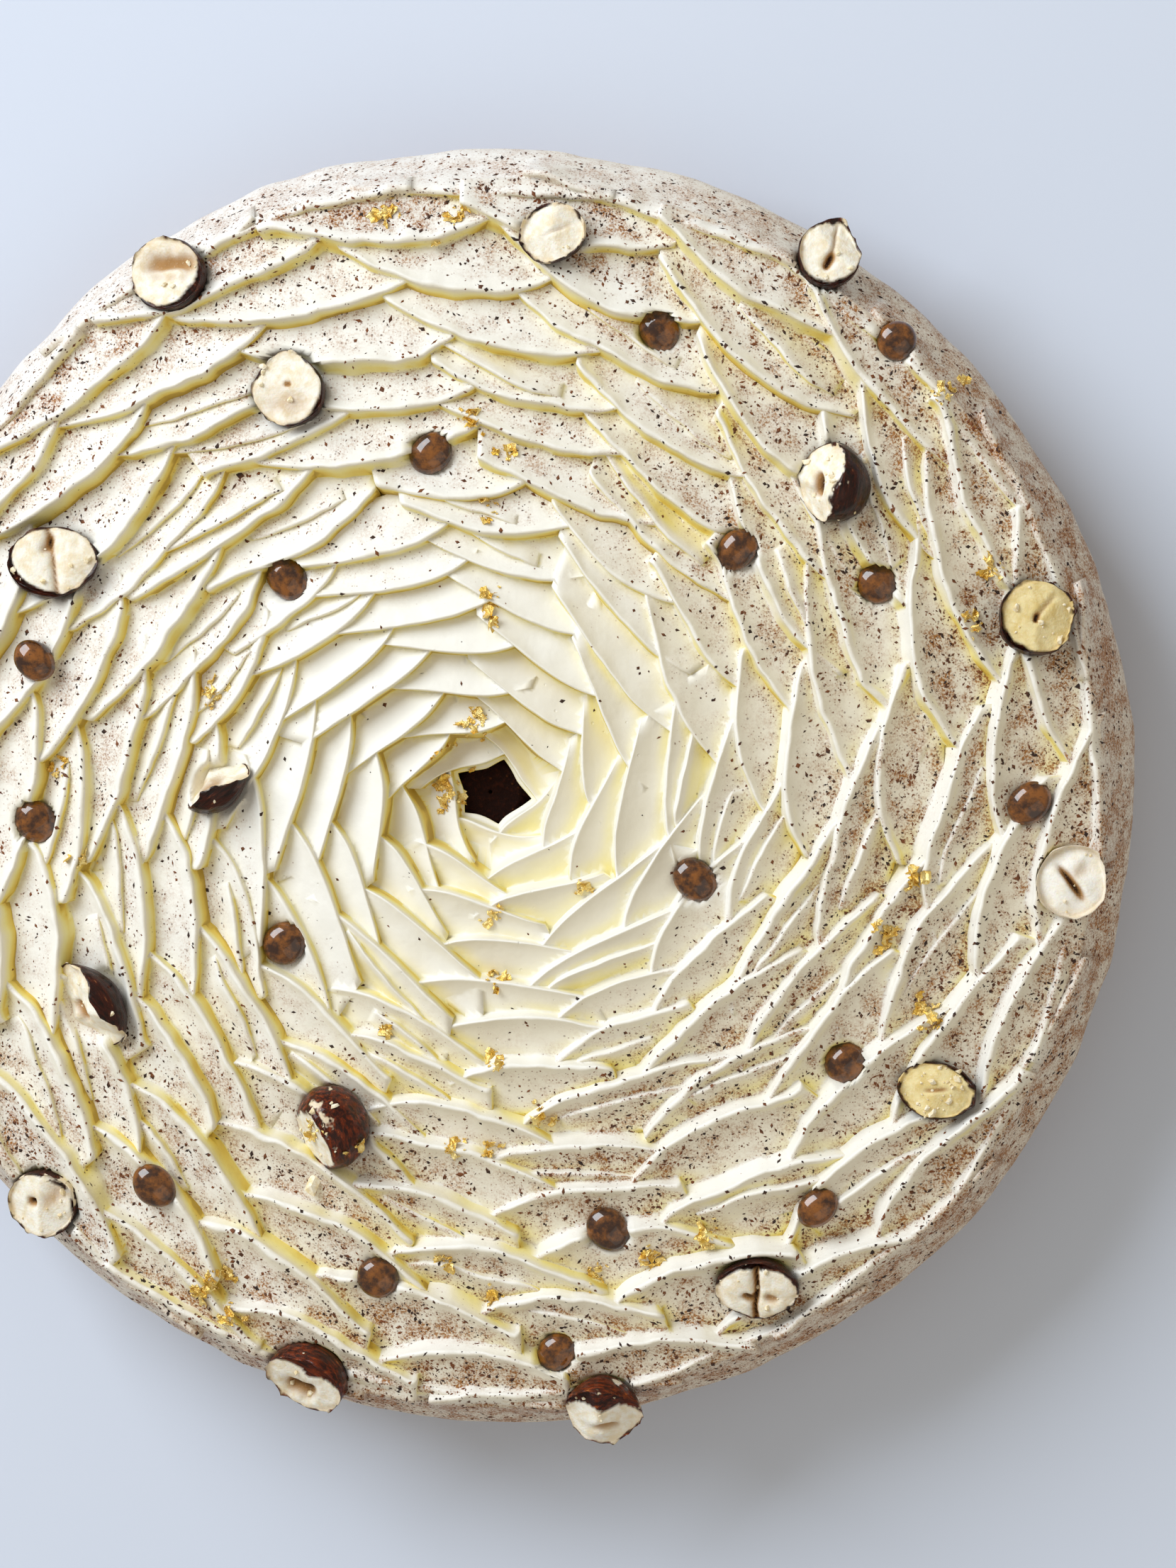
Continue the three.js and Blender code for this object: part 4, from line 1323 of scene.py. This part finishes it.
def surface_of(pieces):
    """A finder of the topmost point of some pieces over a place, and of the normal there."""
    graph = bpy.context.evaluated_depsgraph_get()
    trees = [BVHTree.FromObject(piece, graph) for piece in pieces]

    def find(x, y):
        best = None
        for tree in trees:
            hit = tree.ray_cast(Vector((x * MM, y * MM, RAY_START)), Vector((0, 0, -1)))
            if hit[0] is not None and (best is None or hit[0].z > best[0].z):
                best = hit
        if best is None:
            return None
        return np.array(best[0]) / MM, np.array(best[1])

    return find


def laid_on(body, at, normal, turn, lift):
    """Points of a small turned body laid on a surface, and lowered to the solid model's top."""
    lay = Vector(normal).to_track_quat("Z", "Y").to_matrix() @ turn
    placed = body @ np.array(lay).T + at + normal * lift
    return placed - np.array([0, 0, max(0, placed[:, 2].max() + 0.01 - cad_high[2] / MM)])


# A grain of cocoa: its six corners and its faces.
GRAIN = np.array([[1, 0, 0], [0, 1, 0], [-1, 0, 0], [0, -1, 0], [0, 0, 1], [0, 0, -1]], float)
GRAIN_FACES = [
    [0, 1, 4], [1, 2, 4], [2, 3, 4], [3, 0, 4], [1, 0, 5], [2, 1, 5], [3, 2, 5], [0, 3, 5],
]

# Grains: places tried, most that are looked at, how far out and how low they lie, the share that
# lies everywhere, the radius from which grains stick to steep places too, and how level a place is.
SPECKS = dict(
    tries=98000,
    most=21000,
    within=114,
    lowest=CREAM["hole_top"] - 8,
    stray=0.008,
    sticking=0.15,
    rim=106,
    steep=0.3,
    level=0.72,
)


def build_specks(find, blocked):
    """Grains of cocoa on the cream, thickest where the dust lies thickest."""
    rng = np.random.default_rng(SEEDS["specks"])
    within = SPECKS["within"]
    tries = rng.uniform(-within, within, (SPECKS["tries"], 2))
    chance = rng.random(len(tries))
    flat = np.column_stack([tries, np.zeros(len(tries))])
    density = SPECKS["stray"] + 0.7 * dust_and_shade_at(flat) ** 1.4
    inside = np.hypot(*tries.T) < within
    grains = []
    for x, y in tries[(chance < density) & inside][: SPECKS["most"]]:
        if blocked(x, y):
            continue
        found = find(x, y)
        sticks = rng.random() < SPECKS["sticking"] or math.hypot(x, y) > SPECKS["rim"]
        level = SPECKS["steep"] if sticks else SPECKS["level"]
        if found is None or found[0][2] < SPECKS["lowest"] or found[1][2] < level:
            continue
        size = 0.11 + 0.27 * rng.random() ** 2.2
        shape = np.array([1 + rng.random(), 0.6 + 0.5 * rng.random(), 0.35]) * size
        grain = GRAIN * shape * (1 + 0.25 * rng.standard_normal((6, 1)))
        spin = Matrix.Rotation(rng.random() * 2 * math.pi, 3, "Z")
        grains.append((laid_on(grain, *found, spin, 0.02), GRAIN_FACES))
    piece = many_bodies("cocoa_specks", grains)
    piece.data.materials.append(speck_finish())
    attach(piece, "root")


# Places of the gold leaf, with how many flakes lie there.
GOLD = [
    (-2, 13.1, 9), (-8.2, 1.4, 9), (-6.4, -1.6, 8), (-3.4, 2.6, 5), (-7.4, 8.6, 3), (2.1, -20.7, 4),
    (16.6, -16.2, 3), (2.1, -32.5, 4), (-17.2, -40.1, 3), (2.1, -46.7, 4), (9.7, -56, 3),
    (-5.5, -62.5, 4), (0.7, -62.9, 4), (-6.9, -83, 4), (1.4, -89.1, 4), (-50.5, -88.5, 11),
    (-47, -85.8, 6), (-45.6, -94, 5), (20.1, -84.6, 5), (40.1, -77.4, 6), (29.7, -81.9, 5),
    (71.9, -22.9, 9), (76, -14.5, 6), (78.4, -37.7, 9), (86.4, 31.1, 6), (89.9, 41.5, 6),
    (-4.9, 102.2, 7), (-16.6, 103.6, 5), (-2, 67, 5), (3.5, 61.5, 3), (1, 50.5, 4), (1.4, 36.6, 3),
    (1.4, 30.6, 2), (-48.4, 18.6, 7), (-76, 4.9, 6), (-71.9, -11.8, 4), (80.9, 71.9, 6),
    (-28.6, -59, 4), (-22.7, -61.3, 2),
]
# The one larger chip of nut on the cream: its place and its size.
CHIP = dict(at=(-30.4, -69.4), size=(4.2, 2.8, 1.8))

# A flake of gold leaf: points along each side, half its thickness and the size of its tears.
FLAKE = dict(points=5, thin=0.05, torn=0.22)


def flake(rng, size):
    """A crumpled thin sheet with a torn outline, as a closed body."""
    count, torn = FLAKE["points"], FLAKE["torn"]
    u, v = np.meshgrid(np.linspace(-1, 1, count), np.linspace(-1, 1, count), indexing="ij")
    u = u + torn * rng.standard_normal(u.shape)
    v = v + torn * rng.standard_normal(v.shape)
    fold = rng.uniform(0, 2 * math.pi)
    crease = np.cos(u * math.cos(fold) * 3.1 + v * math.sin(fold) * 2.3 + rng.uniform(0, 6))
    w = 0.28 * crease + 0.2 * rng.standard_normal(u.shape)
    top = np.stack([u, v * rng.uniform(0.5, 0.9), w], -1).reshape(-1, 3) * size / 2
    thin = np.array([0, 0, FLAKE["thin"]])
    points = np.concatenate([top + thin, top - thin])
    grid = np.arange(count * count).reshape(count, count)
    corners = [grid[:-1, :-1], grid[1:, :-1], grid[1:, 1:], grid[:-1, 1:]]
    cells = np.stack(corners, -1).reshape(-1, 4)
    edge = np.concatenate([grid[:-1, 0], grid[-1, :-1], grid[:0:-1, -1], grid[0, :0:-1]])
    low = count * count
    edge = edge.tolist()
    walls = [[a, low + a, low + b, b] for a, b in zip(edge[-1:] + edge[:-1], edge)]
    return points, cells.tolist() + (cells[:, ::-1] + low).tolist() + walls


def build_gold(find):
    """Small heaps of torn flakes of gold leaf, each with as many smaller bits."""
    rng = np.random.default_rng(SEEDS["gold"])
    flakes = []
    for x, y, count in GOLD:
        reach = 0.55 + 0.24 * math.sqrt(count)
        for number in range(count * 2):
            dx, dy = rng.normal(0, reach, 2)
            found = find(x + dx, y + dy)
            if found is None:
                continue
            size = rng.uniform(0.9, 2.6) if number < count else rng.uniform(0.3, 0.8)
            body, faces = flake(rng, size)
            tip = Matrix.Rotation(rng.normal(0, 0.45), 3, "X")
            tip = tip @ Matrix.Rotation(rng.uniform(0, 6.3), 3, "Z")
            flakes.append((laid_on(body, *found, tip, 0.12 + 0.12 * size), faces))
    piece = many_bodies("gold_leaf", flakes)
    piece.data.materials.append(gold_finish())
    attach(piece, "root")


def build_crumbs(find):
    """Crumbs of nut on the cut nuts, and one chip of nut on the cream."""
    unit, faces = ball(1)
    rng = np.random.default_rng(SEEDS["crumbs"])
    crumbs = []

    def add_crumb(x, y, size):
        found = find(x, y)
        if found is None:
            return
        uneven = rng.standard_normal((len(unit), 1)).clip(-1.2, 1.2)
        shape = np.array(size) / 2 * (1 + 0.35 * uneven)
        turn = Matrix.Rotation(rng.uniform(0, 2 * math.pi), 3, "Z")
        crumbs.append((laid_on(unit * shape, *found, turn, 0.3 * size[2]), faces))

    for nut, node in zip(NUTS, NUT_NODES):
        middle, size = topping_middle(node)
        for _ in range(nut["crumbs"]):
            way, far = rng.uniform(0, 2 * math.pi), COVERED * rng.random() ** 0.6
            grown = 0.35 + 0.9 * rng.random() ** 3
            place = middle[:2] + far * size[:2] * np.array([math.cos(way), math.sin(way)])
            add_crumb(*place, (grown * 1.3, grown, grown * 0.8))
    add_crumb(*CHIP["at"], CHIP["size"])
    piece = many_bodies("nut_crumbs", crumbs)
    piece.data.materials.append(crumb_finish())
    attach(piece, "root")


def build_dots():
    """Drops of glazed praline, each a little uneven."""
    unit, faces = ball(4)
    look = dot_finish()
    for number, node in enumerate(DOT_NODES, 1):
        middle, size = topping_middle(node)
        points = unit.copy()
        points[:, 2] = np.sign(points[:, 2]) * np.abs(points[:, 2]) ** 0.85
        points *= (1 + 0.05 * lumps(unit + number * 5, 0.9, 60))[:, None]
        points[:, :2] += 0.12 * points[:, [1, 0]] * math.cos(number * 2.4)
        extent = points.max(0) - points.min(0)
        points = (points - (points.max(0) + points.min(0)) / 2) / extent * size + middle
        piece = new_piece(node + "_glazed", points, faces)
        piece.data.materials.append(look)
        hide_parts(node)
        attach(piece, "root")


def turned_piece(name, profile, steps, uneven, seed):
    """A turned body with a little unevenness, which only takes from the outline."""
    points = turned_rings(profile, steps)
    rough = 0.5 + 0.5 * lumps(points, 2.2, seed)
    radius = np.hypot(points[:, 0], points[:, 1])
    points[:, :2] *= (1 - uneven * rough / np.maximum(radius, 1))[:, None]
    points[:, 2] -= np.where(points[:, 2] > SHELL["floor"] + 1, uneven * 0.7 * rough, 0)
    return new_piece(name, points, bands(steps, len(profile), closed=True))


def along_profile(marks, step):
    """A profile with points every step or so between its marks."""
    profile = []
    for (r1, h1), (r2, h2) in zip(marks, marks[1:]):
        count = max(1, int(math.hypot(r2 - r1, h2 - h1) / step))
        shares = [i / count for i in range(count)]
        profile += [(r1 + (r2 - r1) * i, h1 + (h2 - h1) * i) for i in shares]
    return profile


# Turned bodies begin so far from the middle line.
AXIS = 0.05


def build_crust():
    radius, height, floor, wall, edge = SHELL.values()
    marks = [(AXIS, 0), (radius - edge, 0), (radius, edge), (radius, height - 0.6)]
    marks += [(radius - 0.6, height), (radius - wall, height), (radius - wall, floor)]
    marks += [(AXIS, floor), (AXIS, 0)]
    profile = along_profile(marks, 3)
    piece = turned_piece("baked_tart_shell", profile, steps=320, uneven=0.35, seed=8)
    piece.data.materials.append(crust_finish())
    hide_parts("tart_shell")
    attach(piece, "root")


def build_praline():
    side = SHELL["radius"] - SHELL["wall"] - GAP
    floor = SHELL["floor"] + GAP
    height = SHELL["height"]
    top = height + MOUND["rise"]
    marks = [(AXIS, floor), (side, floor), (side, height), (MOUND["foot"], height)]
    marks += [(MOUND["shoulder"], height + 2 / 3 * MOUND["rise"]), (MOUND["top"], top)]
    marks += [(MOUND["middle"], top - MOUND["dent"]), (AXIS, top - MOUND["dent"]), (AXIS, floor)]
    profile = along_profile(marks[:4], 8) + along_profile(marks[3:8], 0.35) + [marks[-1]]
    piece = turned_piece("praline_inside", profile, steps=180, uneven=0.3, seed=21)
    piece.data.materials.append(praline_finish())
    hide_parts("praline_filling")
    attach(piece, "root")


# ---- table, lights and camera --------------------------------------------------------------

TABLE_HALF = 3000

# Lights: direction, distance and width in metres, watts and colour; and the light of the room.
LIGHTS = dict(
    window=dict(azimuth=137, elevation=38, distance=1.6, size=1, power=25, tint=(0.9, 0.95, 1)),
    reflector=dict(
        azimuth=-50, elevation=55, distance=1.8, size=1.6, power=3, tint=(1, 0.94, 0.85)
    ),
)
ROOM = dict(tint=(1.0, 0.93, 0.81, 1), strength=0.44)

# The photograph's view: the point in the middle of the picture, the height of the frame at that
# point, and the direction and distance of the camera.
VIEW = dict(aim=(18.7, 2.8, 39), tall=276.5, azimuth=45, elevation=82, distance=1300)


def direction(azimuth, elevation):
    """Unit vector towards a direction, with its azimuth from +X towards +Y."""
    turn, rise = math.radians(azimuth), math.radians(elevation)
    flat = math.cos(rise)
    return Vector((math.cos(turn) * flat, math.sin(turn) * flat, math.sin(rise)))


def build_table():
    half = TABLE_HALF
    points = [(-half, -half, 0), (half, -half, 0), (half, half, 0), (-half, half, 0)]
    table = new_piece("pale_table", points, [[0, 1, 2, 3]], smooth=False)
    table.data.materials.append(table_finish())


def build_light():
    """Soft square lights that shine on the middle of the tart, and the light of the room."""
    for name, light in LIGHTS.items():
        lamp = bpy.data.lights.new(name, "AREA")
        lamp.shape = "SQUARE"
        lamp.size = light["size"]
        lamp.energy = light["power"]
        lamp.color = light["tint"]
        holder = linked(name, lamp)
        towards = direction(light["azimuth"], light["elevation"])
        holder.location = towards * light["distance"]
        holder.rotation_mode = "QUATERNION"
        holder.rotation_quaternion = towards.to_track_quat("Z", "Y")
    world = bpy.data.worlds.new("room")
    world.use_nodes = True
    background = world.node_tree.nodes["Background"]
    background.inputs["Color"].default_value = ROOM["tint"]
    background.inputs["Strength"].default_value = ROOM["strength"]
    bpy.context.scene.world = world


def build_camera():
    data = bpy.data.cameras.new("camera")
    camera = linked("camera", data)
    back = direction(VIEW["azimuth"], VIEW["elevation"])
    up = Vector((0, 1, 0))
    up = (up - back * up.dot(back)).normalized()
    turn = Matrix((up.cross(back), up, back)).transposed().to_4x4()
    place = (Vector(VIEW["aim"]) + back * VIEW["distance"]) * MM
    camera.matrix_world = Matrix.Translation(place) @ turn
    data.sensor_fit = "AUTO"
    data.sensor_width = 36
    data.lens = data.sensor_width * VIEW["distance"] / VIEW["tall"]
    data.clip_start, data.clip_end = 0.05, 20
    bpy.context.scene.camera = camera


cream = build_cream()
spots = [topping_middle(node) for node in TOPPINGS]


def under_topping(x, y):
    return any(math.hypot((x - m[0]) / s[0], (y - m[1]) / s[1]) < COVERED for m, s in spots)


build_specks(surface_of(cream), under_topping)
nuts = [nut_piece(index) for index in range(len(NUTS))]
on_top = surface_of(cream + nuts)
build_gold(on_top)
build_crumbs(on_top)
build_dots()
build_crust()
build_praline()
build_table()
build_light()
build_camera()
bpy.context.scene.view_settings.view_transform = "Standard"
